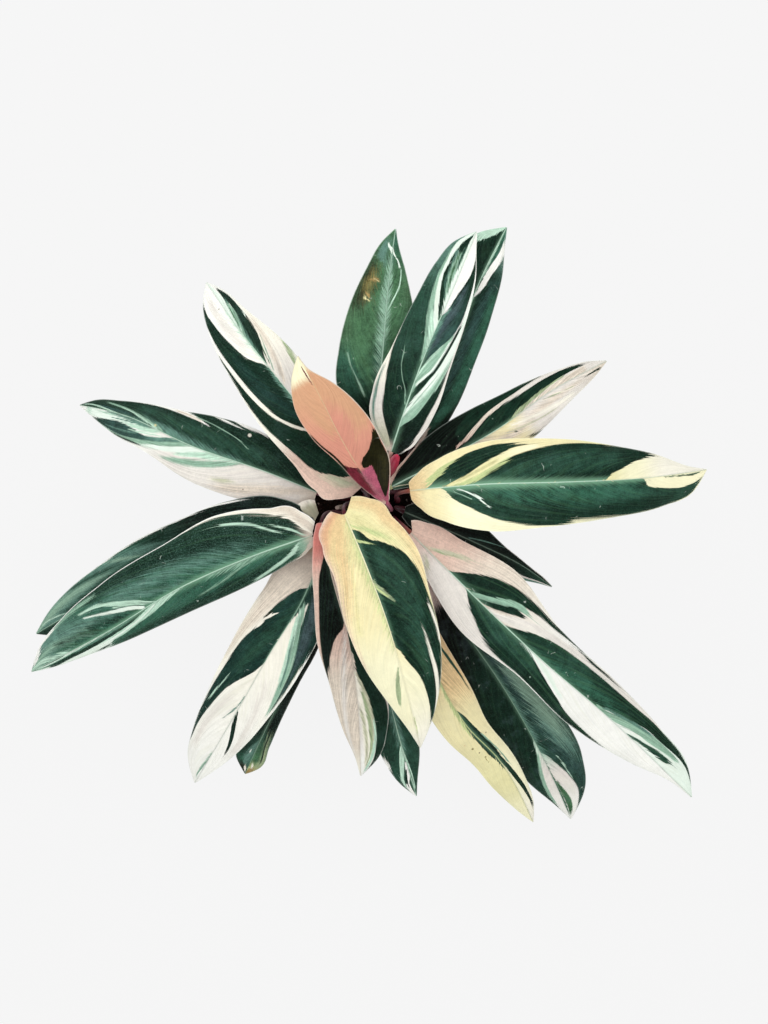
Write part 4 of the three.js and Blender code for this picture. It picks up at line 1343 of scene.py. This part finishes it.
def blemish(size_map, name, place, width):
    """Mask of a round spot on a blade, as wide as given in millimetres."""
    form = LeafForm(name)
    reach = float(form.reach(np.array([place[0]]), np.array([place[1]]))[0])
    centre = (place[0] * form.length * MM, reach * MM, 0)
    distance = Signal(add_node("VectorMath", size_map, centre, operation="DISTANCE").outputs["Value"])
    return (1 - soft_step(distance, 0.3 * width * MM, 0.6 * width * MM)) * 0.85


def make_blade_top(name):
    """Upper side of a blade."""
    look = MARKINGS[name]
    material, shader, place = start_material("Blade top " + name)
    where, veins, paint, pale = blade_paint(place.tree, name)
    size_map = uv_map(place.tree, "size")
    grain = place_group("Leaf grain", Place=place)
    mottle = place_group("Soft mottle", Place=place)
    rib_width = bpy.context.scene.stromanthe_sizes.rib_width
    rib = place_group(
        "Midrib and rim",
        **where,
        Size_map=size_map,
        Width=rib_width,
        Glow=look["glow"] * MM,
        Hairs=veins["Hairs"],
    )

    dark = 1 - soft_step(pale, 0.06, 0.32)
    light = soft_step(pale, 0.55, 0.75)
    middle = most(1 - dark - light, 0)
    calm = soft_step(where["Along"], 0.05, 0.3) * 0.8 + 0.2
    unevenness = (
        (veins["Streaks"] - 0.5) * calm,
        (veins["Hairs"] - 0.5) * calm,
        mottle["Fine"] - 0.5,
        grain["Relief"] - 0.5,
        mottle["Cloud"] - 0.5,
    )

    def uneven(*shares):
        """About 1, with a share of each kind of unevenness."""
        total = 1.0
        for part, share in zip(unevenness, shares):
            total = part * share + total
        return total

    # Streaks and hairs along the veins darken and lighten the colour a little: partly the blade's own
    # streaks, partly painted shade and sheen of its pleats. Soft mottle and grain vary it too.
    streaky = look["streaks"]
    factor = most(uneven(0.9, 0.6, 1.6, 1.6, 1.6), 0.35) * dark
    factor = uneven(1.2 * streaky, 1.2 * streaky, 0.6 * streaky, 0.5 * streaky) * middle + factor
    factor = uneven(0.26, 0.08, 0.16, 0.1, 0.2) * light + factor
    paint = blend(1.0, paint, combine(factor, factor, factor), "MULTIPLY")

    shown = soft_step(where["Along"], look["rib_from"] - 0.03, look["rib_from"] + 0.03)
    left_rim, right_rim = look["rims"]
    layers = [
        # Steel patches over the dark green: a painted sheen.
        (soft_step(mottle["Cloud"], 0.5, 0.75) * look["haze"] * dark, "steel"),
        # Lines on the crests of the vein relief, lighter on the dark green and darker on the pale parts:
        # painted light and shade of the pleats.
        (veins["Lines"] * (dark * look["lines"]), "moss"),
        (veins["Lines"] * (light * 0.06), "sage"),
        (soft_step(veins["Streaks"], 0.45, 0.7) * calm * look["tint"] * light, "lichen"),
        (grain["Dust"] * (dark * look["dust"]), "mist"),
        (veins["Scratches"] * (dark * look["feathers"]), "sage"),
        (rib["Glow"] * (dark * look["glow_share"]), "glow"),
        # Pine in a band along the midrib: painted shade of its groove.
        (rib["Groove"] * look["groove"], "pine"),
        (rib["Line"] * (dark * 0.55 + 0.4) * (shown * look["rib_share"]), look["rib"]),
        (rib["Rim"] * ((where["Side"] > 0) * (right_rim - left_rim) + left_rim), look["rim"]),
        (grain["Specks"] * 0.45, "mint"),
        (grain["Scratches"] * (dark * 0.4), "ice"),
        (grain["Freckles"] * (light * 0.6), "clay"),
    ]
    for spot, width, name_of_tone in look["spots"]:
        layers.append((blemish(size_map, name, spot, width), name_of_tone))
    for share, name_of_tone in layers:
        paint = blend(share, paint, tone(name_of_tone))
    fold = bumps(
        (veins["Relief"] * calm, 0.8, 0.3),
        (veins["Streaks"] * calm, 0.5, 0.3),
        (rib["Line"], 0.5, 0.6),
        (grain["Relief"], 0.1, 0.5),
    )
    finish_shader(shader, paint, veins["Streaks"] * 0.22 + 0.32, 0.18, fold)
    return material


def make_blade_underside(name):
    """Underside of a blade: burgundy, and flesh pink below the pale parts."""
    material, shader, place = start_material("Blade underside " + name)
    where, veins, paint, pale = blade_paint(place.tree, name)
    rib_width = bpy.context.scene.stromanthe_sizes.rib_width
    rib = place_group(
        "Midrib and rim",
        **where,
        Size_map=uv_map(place.tree, "size"),
        Width=1.8 * rib_width,
        Hairs=veins["Hairs"],
    )
    paint = blend(soft_step(pale, 0.12, 0.75), tone("burgundy"), tone("flesh"))
    paint = blend(soft_step(veins["Streaks"], 0.45, 0.75) * 0.3, paint, tone("rose"))
    paint = blend(rib["Line"] * 0.6, paint, tone("rose"))
    grain = place_group("Leaf grain", Place=place)
    finish_shader(shader, paint, 0.5, 0.3, bumps((veins["Relief"], 0.8, 0.5), (grain["Relief"], 0.1, 0.5)))
    return material


def make_stalk_material(name, foot, top, seed):
    """A stalk, from its foot tone to its top tone by the share map."""
    material, shader, place = start_material(name)
    mottle = place_group("Soft mottle", Place=place)
    along, around, _ = separate(uv_map(place.tree, "share"))
    lines = noise_of(combine(around * 14, along, seed), 1, 3, 0.6)
    # For the stalks, the foot and top tones hold painted shade under the leaves, and rust painted full
    # light.
    paint = blend(soft_step(along, 0.55, 0.98), tone(foot), tone(top))
    paint = blend(soft_step(lines, 0.4, 0.7) * 0.16, paint, tone("rose"))
    paint = blend(soft_step(mottle["Fine"], 0.5, 0.75) * 0.3, paint, tone("black"))
    finish_shader(shader, paint, 0.42, 0.35, bumps((lines, 0.3, 0.5)))
    return material


def make_pot_material():
    """Speckled stoneware, darker round its foot, with faint rings from turning."""
    material, shader, place = start_material("Speckled stoneware")
    mottle = place_group("Soft mottle", Place=place)
    speck, (_, chance, _) = spots_of(place, 420, 0.15)
    height = separate(place)[2]
    foot = 1 - soft_step(height, 4 * MM, 11 * MM)
    paint = blend(soft_step(mottle["Broad"], 0.3, 0.75), tone("stoneware"), tone("pearl"))
    paint = blend(0.6, paint, tone("stoneware"))
    paint = blend((chance > 0.72) * speck * 0.7, paint, tone("clay"))
    paint = blend(foot * 0.7, paint, tone("clay"))
    rings = noise_of(combine(0.0, 0.0, height * 330), 1)
    relief = bumps((rings, 0.5, 0.6), (mottle["Fine"], 0.3, 0.5))
    finish_shader(shader, paint, mottle["Fine"] * 0.25 + 0.38, 0.5, relief)
    return material


def make_soil_material():
    material, shader, place = start_material("Potting soil")
    mottle = place_group("Soft mottle", Place=place)
    crumbs = noise_of(place, 420, 4, 0.7)
    # Earth and bark, darkened as painted shade under the leaves, and broad patches of black.
    paint = blend(soft_step(crumbs, 0.42, 0.65), tone("earth"), tone("bark"))
    paint = blend(mottle["Broad"] * 0.5, paint, tone("black"))
    finish_shader(shader, paint, 0.95, 0.15, bumps((crumbs, 1.5, 0.9)))
    return material


def make_chip_material(name, light, dark):
    material, shader, place = start_material(name)
    grain = noise_of(place, 800, 3, 0.7)
    finish_shader(shader, blend(grain, tone(dark), tone(light)), 0.9, 0.5, bumps((grain, 0.6, 0.7)))
    return material


# ---------------------------------------------------------------- mesh helpers


def deselect():
    bpy.ops.object.select_all(action="DESELECT")


def start_piece(name, add, **options):
    """A primitive at the origin, named."""
    deselect()
    add(location=(0, 0, 0), **options)
    piece = bpy.context.object
    piece.name = name
    piece.data.name = name
    return piece, piece.data


def finish_piece(piece, slot, *nodes):
    """Rides a finished piece on the plant's one body, in the place of its CAD nodes."""
    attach(piece, "root")
    if nodes:
        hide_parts(*nodes)


def smooth_piece(degrees):
    bpy.ops.object.shade_smooth_by_angle(angle=math.radians(degrees))


def positions(mesh):
    flat = np.zeros(len(mesh.vertices) * 3)
    mesh.vertices.foreach_get("co", flat)
    return flat.reshape(-1, 3)


def set_positions(mesh, points):
    mesh.vertices.foreach_set("co", points.ravel())
    mesh.update()


def corner_vertices(mesh):
    corners = np.zeros(len(mesh.loops), np.int32)
    mesh.loops.foreach_get("vertex_index", corners)
    return corners


def set_uv_maps(mesh, **maps):
    """UV maps in place of the mesh's own, each from a pair of values for each vertex."""
    while mesh.uv_layers:
        mesh.uv_layers.remove(mesh.uv_layers[0])
    corners = corner_vertices(mesh)
    for name, pairs in maps.items():
        layer = mesh.uv_layers.new(name=name)
        layer.data.foreach_set("uv", np.stack(pairs, -1)[corners].ravel())


def thicken(piece, underside=0):
    """Gives a sheet its thickness, and its underside a material."""
    wall = piece.modifiers.new("Wall", "SOLIDIFY")
    wall.thickness = bpy.context.scene.stromanthe_sizes.blade_thickness
    wall.offset = 0
    wall.material_offset = underside
    wall.material_offset_rim = 0
    bpy.ops.object.modifier_apply(modifier=wall.name)


def face_outwards():
    """Turns the faces of the active closed piece outwards."""
    bpy.ops.object.mode_set(mode="EDIT")
    bpy.ops.mesh.select_all(action="SELECT")
    bpy.ops.mesh.normals_make_consistent(inside=False)
    bpy.ops.object.mode_set(mode="OBJECT")


def close_ring(piece, height):
    """Fills the open ring at a height with a fan of faces."""
    mesh = bmesh.new()
    mesh.from_mesh(piece.data)
    near = [edge for edge in mesh.edges if abs(edge.verts[0].co.z - height * MM) < 0.2 * MM]
    centre = mesh.verts.new((0, 0, height * MM))
    for edge in near:
        if edge.is_boundary:
            mesh.faces.new((*edge.verts, centre))
    bmesh.ops.recalc_face_normals(mesh, faces=mesh.faces)
    mesh.to_mesh(piece.data)
    mesh.free()


def turned_frames(ahead, first):
    """A side direction for each ring that doesn't twist."""
    sides = [first / np.linalg.norm(first)]
    for direction in ahead[1:]:
        side = sides[-1] - direction * np.dot(sides[-1], direction)
        sides.append(side / np.linalg.norm(side))
    return np.array(sides)


def shape_tube(name, centres, radii, sides=14):
    """A closed tube along a path, from a circle extruded ring by ring."""
    tube, mesh = start_piece(name, bpy.ops.mesh.primitive_circle_add, vertices=sides, radius=1)
    bpy.ops.object.mode_set(mode="EDIT")
    for _ in centres[1:]:
        bpy.ops.mesh.extrude_region_move(TRANSFORM_OT_translate={"value": (0, 0, 1)})
    bpy.ops.object.mode_set(mode="OBJECT")
    x, y, z = positions(mesh).T
    ring = np.round(z).astype(int)
    turn = np.arctan2(y, x)
    ahead = np.gradient(centres, axis=0)
    ahead /= np.linalg.norm(ahead, axis=1, keepdims=True)
    first = np.cross(ahead[0], (0.0, 1.0, 0.0))
    if np.linalg.norm(first) < 0.2:
        first = np.cross(ahead[0], (1.0, 0.0, 0.0))
    side = turned_frames(ahead, first)
    other = np.cross(ahead, side)
    spoke = np.cos(turn)[:, None] * side[ring] + np.sin(turn)[:, None] * other[ring]
    set_positions(mesh, (centres[ring] + spoke * radii[ring][:, None]) * MM)
    set_uv_maps(mesh, share=(ring / (len(centres) - 1), (turn + np.pi) / (2 * np.pi)))
    bpy.ops.object.mode_set(mode="EDIT")
    bpy.ops.mesh.select_all(action="DESELECT")
    bpy.ops.mesh.select_mode(type="EDGE")
    bpy.ops.mesh.select_non_manifold()
    bpy.ops.mesh.fill_holes(sides=0)
    bpy.ops.object.mode_set(mode="OBJECT")
    face_outwards()
    smooth_piece(60)
    return tube


# ---------------------------------------------------------------- pieces


def shape_blade(name):
    """A blade from a grid: formed, pleated, thickened, and given its rib."""
    sizes = bpy.context.scene.stromanthe_sizes
    form = LeafForm(name)
    blade, mesh = start_piece(
        "blade_form_" + name,
        bpy.ops.mesh.primitive_grid_add,
        x_subdivisions=sizes.blade_rows,
        y_subdivisions=sizes.blade_columns,
        size=2,
    )
    x, y, _ = positions(mesh).T
    step = (x + 1) / 2
    along = np.clip(step - ROW_CROWDING * np.sin(2 * np.pi * step), 0, 1)
    across = -np.sign(y) * np.abs(y) ** COLUMN_CROWDING
    points = form.surface(along, across)
    share = np.abs(across)
    vein = along - VEIN_SLANT * share - VEIN_HOOK * share**4
    seed = NUMBERS[name] + 1
    fade = np.clip(along / 0.06, 0, 1) * np.clip((1 - along) / 0.25, 0, 1) * np.clip(share / 0.12, 0, 1)
    turns = form.length / PLEAT_SPACING * vein + 0.7 * smooth_noise(vein * 9, seed)
    pleats = 0.6 * np.sin(2 * np.pi * turns) * (1 - 0.5 * share)
    slow = 1.3 * smooth_noise(vein * 7 + np.sign(across) * 3, seed + 20) - 1.4
    points[:, 2] += sizes.pleat_height / MM * fade * (pleats + slow)
    set_positions(mesh, points * MM)
    reach = form.reach(along, across)
    set_uv_maps(mesh, share=(along, (across + 1) / 2), size=(along * form.length * MM, reach * MM))
    mesh.materials.append(make_blade_top(name))
    mesh.materials.append(make_blade_underside(name))
    thicken(blade, underside=1)
    shape_midrib(mesh, form.length)
    smooth_piece(50)
    finish_piece(blade, LEAVES[name]["slot"], "blade_" + name)


def shape_midrib(mesh, rib_length):
    """Pushes the underside out along the rib."""
    points = positions(mesh)
    uv = np.zeros(len(mesh.loops) * 2)
    mesh.uv_layers["size"].data.foreach_get("uv", uv)
    place = np.zeros((len(points), 2))
    place[corner_vertices(mesh)] = uv.reshape(-1, 2)
    along = place[:, 0] / MM / rib_length
    reach = place[:, 1] / MM
    bulge = np.exp(-((reach / (RIDGE_HALF_WIDTH - RIDGE_TAPER * along)) ** 2)) * (1.15 - along)
    under = [vertex for face in mesh.polygons if face.material_index == 1 for vertex in face.vertices]
    under = np.unique(under)
    points[under, 2] -= bulge[under] * bpy.context.scene.stromanthe_sizes.rib_height
    set_positions(mesh, points)


def stalk_course(name, share):
    """Points of a stalk, in millimetres: a cubic curve from its foot into its blade's rib."""
    form = LeafForm(name)
    base, near = form.surface(np.array([0, 0.016]), np.zeros(2))
    heading = (near - base) / np.linalg.norm(near - base)
    foot = np.array([*LEAVES[name]["foot"], STALK_FOOT_HEIGHT], float)
    upright = foot + STALK_LEAN * (base - foot)
    upright[2] = (foot[2] + base[2]) / 2
    bend = base - heading * STALK_BEND
    end = base + heading * 3 - np.array([0, 0, 1.6])
    share = share[:, None]
    rest = 1 - share
    return rest**3 * foot + 3 * rest**2 * share * upright + 3 * rest * share**2 * bend + share**3 * end


def shape_stalk(name):
    share = np.linspace(0, 1, 46)
    centres = stalk_course(name, share)
    joint = JOINT_LENGTH / chord_lengths(centres).sum()
    radii = STALK_RADIUS + SHEATH_EXTRA * eased(0.5 - share, 0, 0.5)
    radii += JOINT_EXTRA * eased(share, 1 - 1.4 * joint, 1 - 0.6 * joint)
    radii *= 1 - 0.45 * eased(share, 0.97, 1.0)
    stalk = shape_tube("stalk_form_" + name, centres, radii)
    foot, top = STALK_TONES.get(name, USUAL_STALK)
    stalk.data.materials.append(make_stalk_material("Stalk " + name, foot, top, STALK_SEEDS[name]))
    finish_piece(stalk, "stalk", "stalk_" + name)


def shape_shoot():
    """The youngest leaf, still rolled up."""
    share = np.linspace(0, 1, 60)
    radii = np.interp(share, SHOOT_STATIONS, SHOOT_RADII)
    shoot = shape_tube("rolled_shoot_form", spline(SHOOT_COURSE, share), radii, 20)
    shoot.data.materials.append(make_stalk_material("Rolled shoot", "maroon", "crimson", 3.0))
    finish_piece(shoot, "shoot", "rolled_shoot")


def shape_stub():
    """A cut stub of an old stalk, dry at its top."""
    share = np.linspace(0, 1, 40)
    radii = np.interp(share, (0, 1), STUB_RADII)
    stub = shape_tube("cut_stub_form", spline(STUB_COURSE, share), radii, 16)
    stub.data.materials.append(make_stalk_material("Dry stub", "straw", "blush", 5.0))
    finish_piece(stub, "dry_stub", "cut_stub")


def shape_sheath():
    """A small dry sheath around the top of one stalk, from a grid bent between its corners."""
    sheath, mesh = start_piece(
        "sheath_west", bpy.ops.mesh.primitive_grid_add, x_subdivisions=24, y_subdivisions=14, size=2
    )
    x, y, _ = positions(mesh).T
    along = (x + 1) / 2
    across = (y + 1) / 2
    corners = np.array(SHEATH_CORNERS, float)
    near, far = (first + (last - first) * across[:, None] for first, last in corners)
    points = near + (far - near) * (along**0.9)[:, None]
    arch = 6 * across * (1 - across) + 2.5 * np.sin(np.pi * along)
    points[:, 2] += arch + 0.8 * np.sin(9 * across + 2 * along)
    points[:, 1] += 2.2 * np.sin(np.pi * across) * along
    set_positions(mesh, points * MM)
    set_uv_maps(mesh, share=(along, across))
    mesh.materials.append(make_stalk_material("Dry sheath", "lichen", "cream", 7.0))
    thicken(sheath)
    smooth_piece(50)
    finish_piece(sheath, "stalk")


def shape_pot():
    """The pot: a small disc turned outwards and upwards ring by ring."""
    pot, mesh = start_piece(
        "pot_form", bpy.ops.mesh.primitive_circle_add, vertices=POT_SIDES, radius=POT_PROFILE[0][0] * MM
    )
    bpy.ops.object.mode_set(mode="EDIT")
    bpy.ops.mesh.select_mode(type="VERT")
    bpy.ops.mesh.select_all(action="SELECT")
    for (radius, height), (next_radius, next_height) in zip(POT_PROFILE, POT_PROFILE[1:]):
        grow = next_radius / radius
        rise = (next_height - height) * MM
        bpy.ops.mesh.extrude_region_move(TRANSFORM_OT_translate={"value": (0, 0, rise)})
        bpy.ops.transform.resize(value=(grow, grow, 1), center_override=(0, 0, 0))
    bpy.ops.object.mode_set(mode="OBJECT")
    close_ring(pot, POT_PROFILE[-1][1])
    close_ring(pot, 0)
    face_outwards()
    smooth_piece(45)
    mesh.materials.append(make_pot_material())
    finish_piece(pot, "pot", "pot")


def soil_height(radius):
    return SOIL_HEIGHT - SOIL_FALL * (radius / SOIL_RADIUS) ** 2


def scatter_bits(name, material, number, size, seed):
    """Copies of one rough chip, turned and scaled, spread on the soil and joined."""
    bits, mesh = start_piece(name, bpy.ops.mesh.primitive_ico_sphere_add, subdivisions=1, radius=1)
    chooser = random.Random(seed)
    chip = positions(mesh)
    faces = np.array([face.vertices[:] for face in mesh.polygons])
    points = []
    for _ in range(number):
        radius = SCATTER_RADIUS * math.sqrt(chooser.random())
        turn = chooser.uniform(0, 2 * math.pi)
        scale = np.array([chooser.uniform(*stretch) for stretch in CHIP_STRETCH]) * size
        spin = chooser.uniform(0, math.pi)
        rough = chip * scale * (1 + CHIP_ROUGHNESS * np.array([[chooser.uniform(-1, 1)] for _ in chip]))
        x = rough[:, 0] * math.cos(spin) - rough[:, 1] * math.sin(spin) + radius * math.cos(turn)
        y = rough[:, 0] * math.sin(spin) + rough[:, 1] * math.cos(spin) + radius * math.sin(turn)
        points.append(np.stack([x, y, rough[:, 2] + soil_height(radius) + 0.3], -1) * MM)
    triangles = [faces + copy * len(chip) for copy in range(number)]
    mesh.clear_geometry()
    mesh.from_pydata(np.concatenate(points).tolist(), [], np.concatenate(triangles).tolist())
    mesh.materials.append(material)
    smooth_piece(35)
    finish_piece(bits, "soil")


# ---------------------------------------------------------------- stage


def make_floor():
    size = bpy.context.scene.stromanthe_sizes.floor_size
    deselect()
    bpy.ops.mesh.primitive_plane_add(size=size, location=(0, 0, -FLOOR_DEPTH))
    floor = bpy.context.object
    floor.name = "floor"
    material = bpy.data.materials.new("Pale floor")
    material.use_nodes = True
    shader = material.node_tree.nodes["Principled BSDF"]
    shader.inputs["Base Color"].default_value = (0.04, 0.04, 0.04, 1)
    shader.inputs["Roughness"].default_value = 1
    shader.inputs["Specular IOR Level"].default_value = 0
    shader.inputs["Emission Color"].default_value = (1, 1, 1, 1)
    shader.inputs["Emission Strength"].default_value = FLOOR_GLOW
    floor.data.materials.append(material)


def make_world():
    """A white room: brighter where the camera sees it, dimmer where it mirrors in the leaves."""
    world = bpy.data.worlds.new("Studio")
    bpy.context.scene.world = world
    world.use_nodes = True
    backdrop = world.node_tree.nodes["Background"]
    rays = world.node_tree.nodes.new("ShaderNodeLightPath").outputs
    strength = Signal(rays["Is Camera Ray"]) * 0.35 + 0.55 + Signal(rays["Is Glossy Ray"]) * -0.4
    feed(strength, backdrop.inputs["Strength"])
    backdrop.inputs["Color"].default_value = (1, 1, 1, 1)


def add_light(name, place, turn, size, power, glossy):
    """A soft rectangle of light, turned by degrees, that only mirrors in the piece if glossy."""
    bpy.ops.object.light_add(type="AREA", location=place, rotation=[math.radians(angle) for angle in turn])
    lamp = bpy.context.object
    lamp.name = name
    lamp.data.name = name
    lamp.data.shape = "RECTANGLE"
    lamp.data.size, lamp.data.size_y = size
    lamp.data.energy = power
    lamp.visible_camera = False
    lamp.visible_glossy = glossy


def make_lights():
    add_light(
        "overhead_softbox",
        place=(0.1, 0.5, 2.6),
        turn=(-11, 2, 0),
        size=(2.6, 2.6),
        power=57,
        glossy=False,
    )
    add_light(
        "left_sheen",
        place=(-1.9, 0.9, 1.5),
        turn=(0, -52, -25),
        size=(1.2, 1.6),
        power=6,
        glossy=True,
    )


def make_camera():
    bpy.ops.object.camera_add(location=CAMERA_PLACE, rotation=(0, 0, 0))
    camera = bpy.context.object
    camera.name = "main_camera"
    camera.data.sensor_fit = "AUTO"
    camera.data.sensor_width = SENSOR_WIDTH
    camera.data.lens = LENS_IN_PIXELS / FRAME_HEIGHT * SENSOR_WIDTH
    camera.data.clip_end = 50
    bpy.context.scene.camera = camera


# ---------------------------------------------------------------- operators


class STROMANTHE_OT_effects(bpy.types.Operator):
    """Makes the shader groups that the materials share"""

    bl_idname = "stromanthe.effects"
    bl_label = "Shared effects"

    def execute(self, context):
        for make in SHARED_EFFECTS:
            make()
        for name in MARKINGS:
            make_markings(name)
        return {"FINISHED"}


class STROMANTHE_OT_blades(bpy.types.Operator):
    """Makes the leaf blades"""

    bl_idname = "stromanthe.blades"
    bl_label = "Blades"

    def execute(self, context):
        for name in LEAVES:
            shape_blade(name)
        return {"FINISHED"}


class STROMANTHE_OT_stalks(bpy.types.Operator):
    """Makes the stalks under the blades"""

    bl_idname = "stromanthe.stalks"
    bl_label = "Stalks"

    def execute(self, context):
        for name in LEAVES:
            shape_stalk(name)
        return {"FINISHED"}


class STROMANTHE_OT_shoots(bpy.types.Operator):
    """Makes the rolled shoot, the cut stub and the dry sheath"""

    bl_idname = "stromanthe.shoots"
    bl_label = "Shoot and stub"

    def execute(self, context):
        shape_shoot()
        shape_stub()
        shape_sheath()
        return {"FINISHED"}


class STROMANTHE_OT_pot(bpy.types.Operator):
    """Makes the pot"""

    bl_idname = "stromanthe.pot"
    bl_label = "Pot"

    def execute(self, context):
        shape_pot()
        return {"FINISHED"}


class STROMANTHE_OT_soil(bpy.types.Operator):
    """Finishes the soil, and scatters bark and perlite on it"""

    bl_idname = "stromanthe.soil"
    bl_label = "Soil"

    def execute(self, context):
        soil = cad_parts["soil"]
        soil.data.materials.clear()
        soil.data.materials.append(make_soil_material())
        # Bark and perlite chips in darkened tones: painted shade under the leaves.
        scatter_bits("bark_bits", make_chip_material("Bark", "bark", "earth"), 260, 2.4, seed=5)
        scatter_bits("perlite_bits", make_chip_material("Perlite", "perlite", "stoneware"), 110, 1.3, seed=9)
        return {"FINISHED"}


class STROMANTHE_OT_stage(bpy.types.Operator):
    """Makes the floor, the lights and the camera"""

    bl_idname = "stromanthe.stage"
    bl_label = "Stage"

    def execute(self, context):
        make_floor()
        make_world()
        make_lights()
        make_camera()
        return {"FINISHED"}


STEPS = (
    STROMANTHE_OT_effects,
    STROMANTHE_OT_blades,
    STROMANTHE_OT_stalks,
    STROMANTHE_OT_shoots,
    STROMANTHE_OT_pot,
    STROMANTHE_OT_soil,
    STROMANTHE_OT_stage,
)


class STROMANTHE_PT_panel(bpy.types.Panel):
    """Lists the sizes and the steps that build the plant"""

    bl_idname = "STROMANTHE_PT_panel"
    bl_label = "Stromanthe"
    bl_space_type = "VIEW_3D"
    bl_region_type = "UI"
    bl_category = "Stromanthe"

    def draw(self, context):
        for name in StromantheSizes.__annotations__:
            self.layout.prop(context.scene.stromanthe_sizes, name)
        for step in STEPS:
            self.layout.operator(step.bl_idname)


CLASSES = (StromantheTones, StromantheSizes, *STEPS, STROMANTHE_PT_panel)


def register():
    for kind in CLASSES:
        bpy.utils.register_class(kind)
    bpy.types.Scene.stromanthe_tones = bpy.props.PointerProperty(type=StromantheTones)
    bpy.types.Scene.stromanthe_sizes = bpy.props.PointerProperty(type=StromantheSizes)


def unregister():
    del bpy.types.Scene.stromanthe_sizes
    del bpy.types.Scene.stromanthe_tones
    for kind in reversed(CLASSES):
        bpy.utils.unregister_class(kind)


def main():
    register()
    bpy.context.scene.view_settings.view_transform = "Standard"
    bpy.ops.stromanthe.effects()
    bpy.ops.stromanthe.blades()
    bpy.ops.stromanthe.stalks()
    bpy.ops.stromanthe.shoots()
    bpy.ops.stromanthe.pot()
    bpy.ops.stromanthe.soil()
    bpy.ops.stromanthe.stage()


if __name__ == "__main__":
    main()
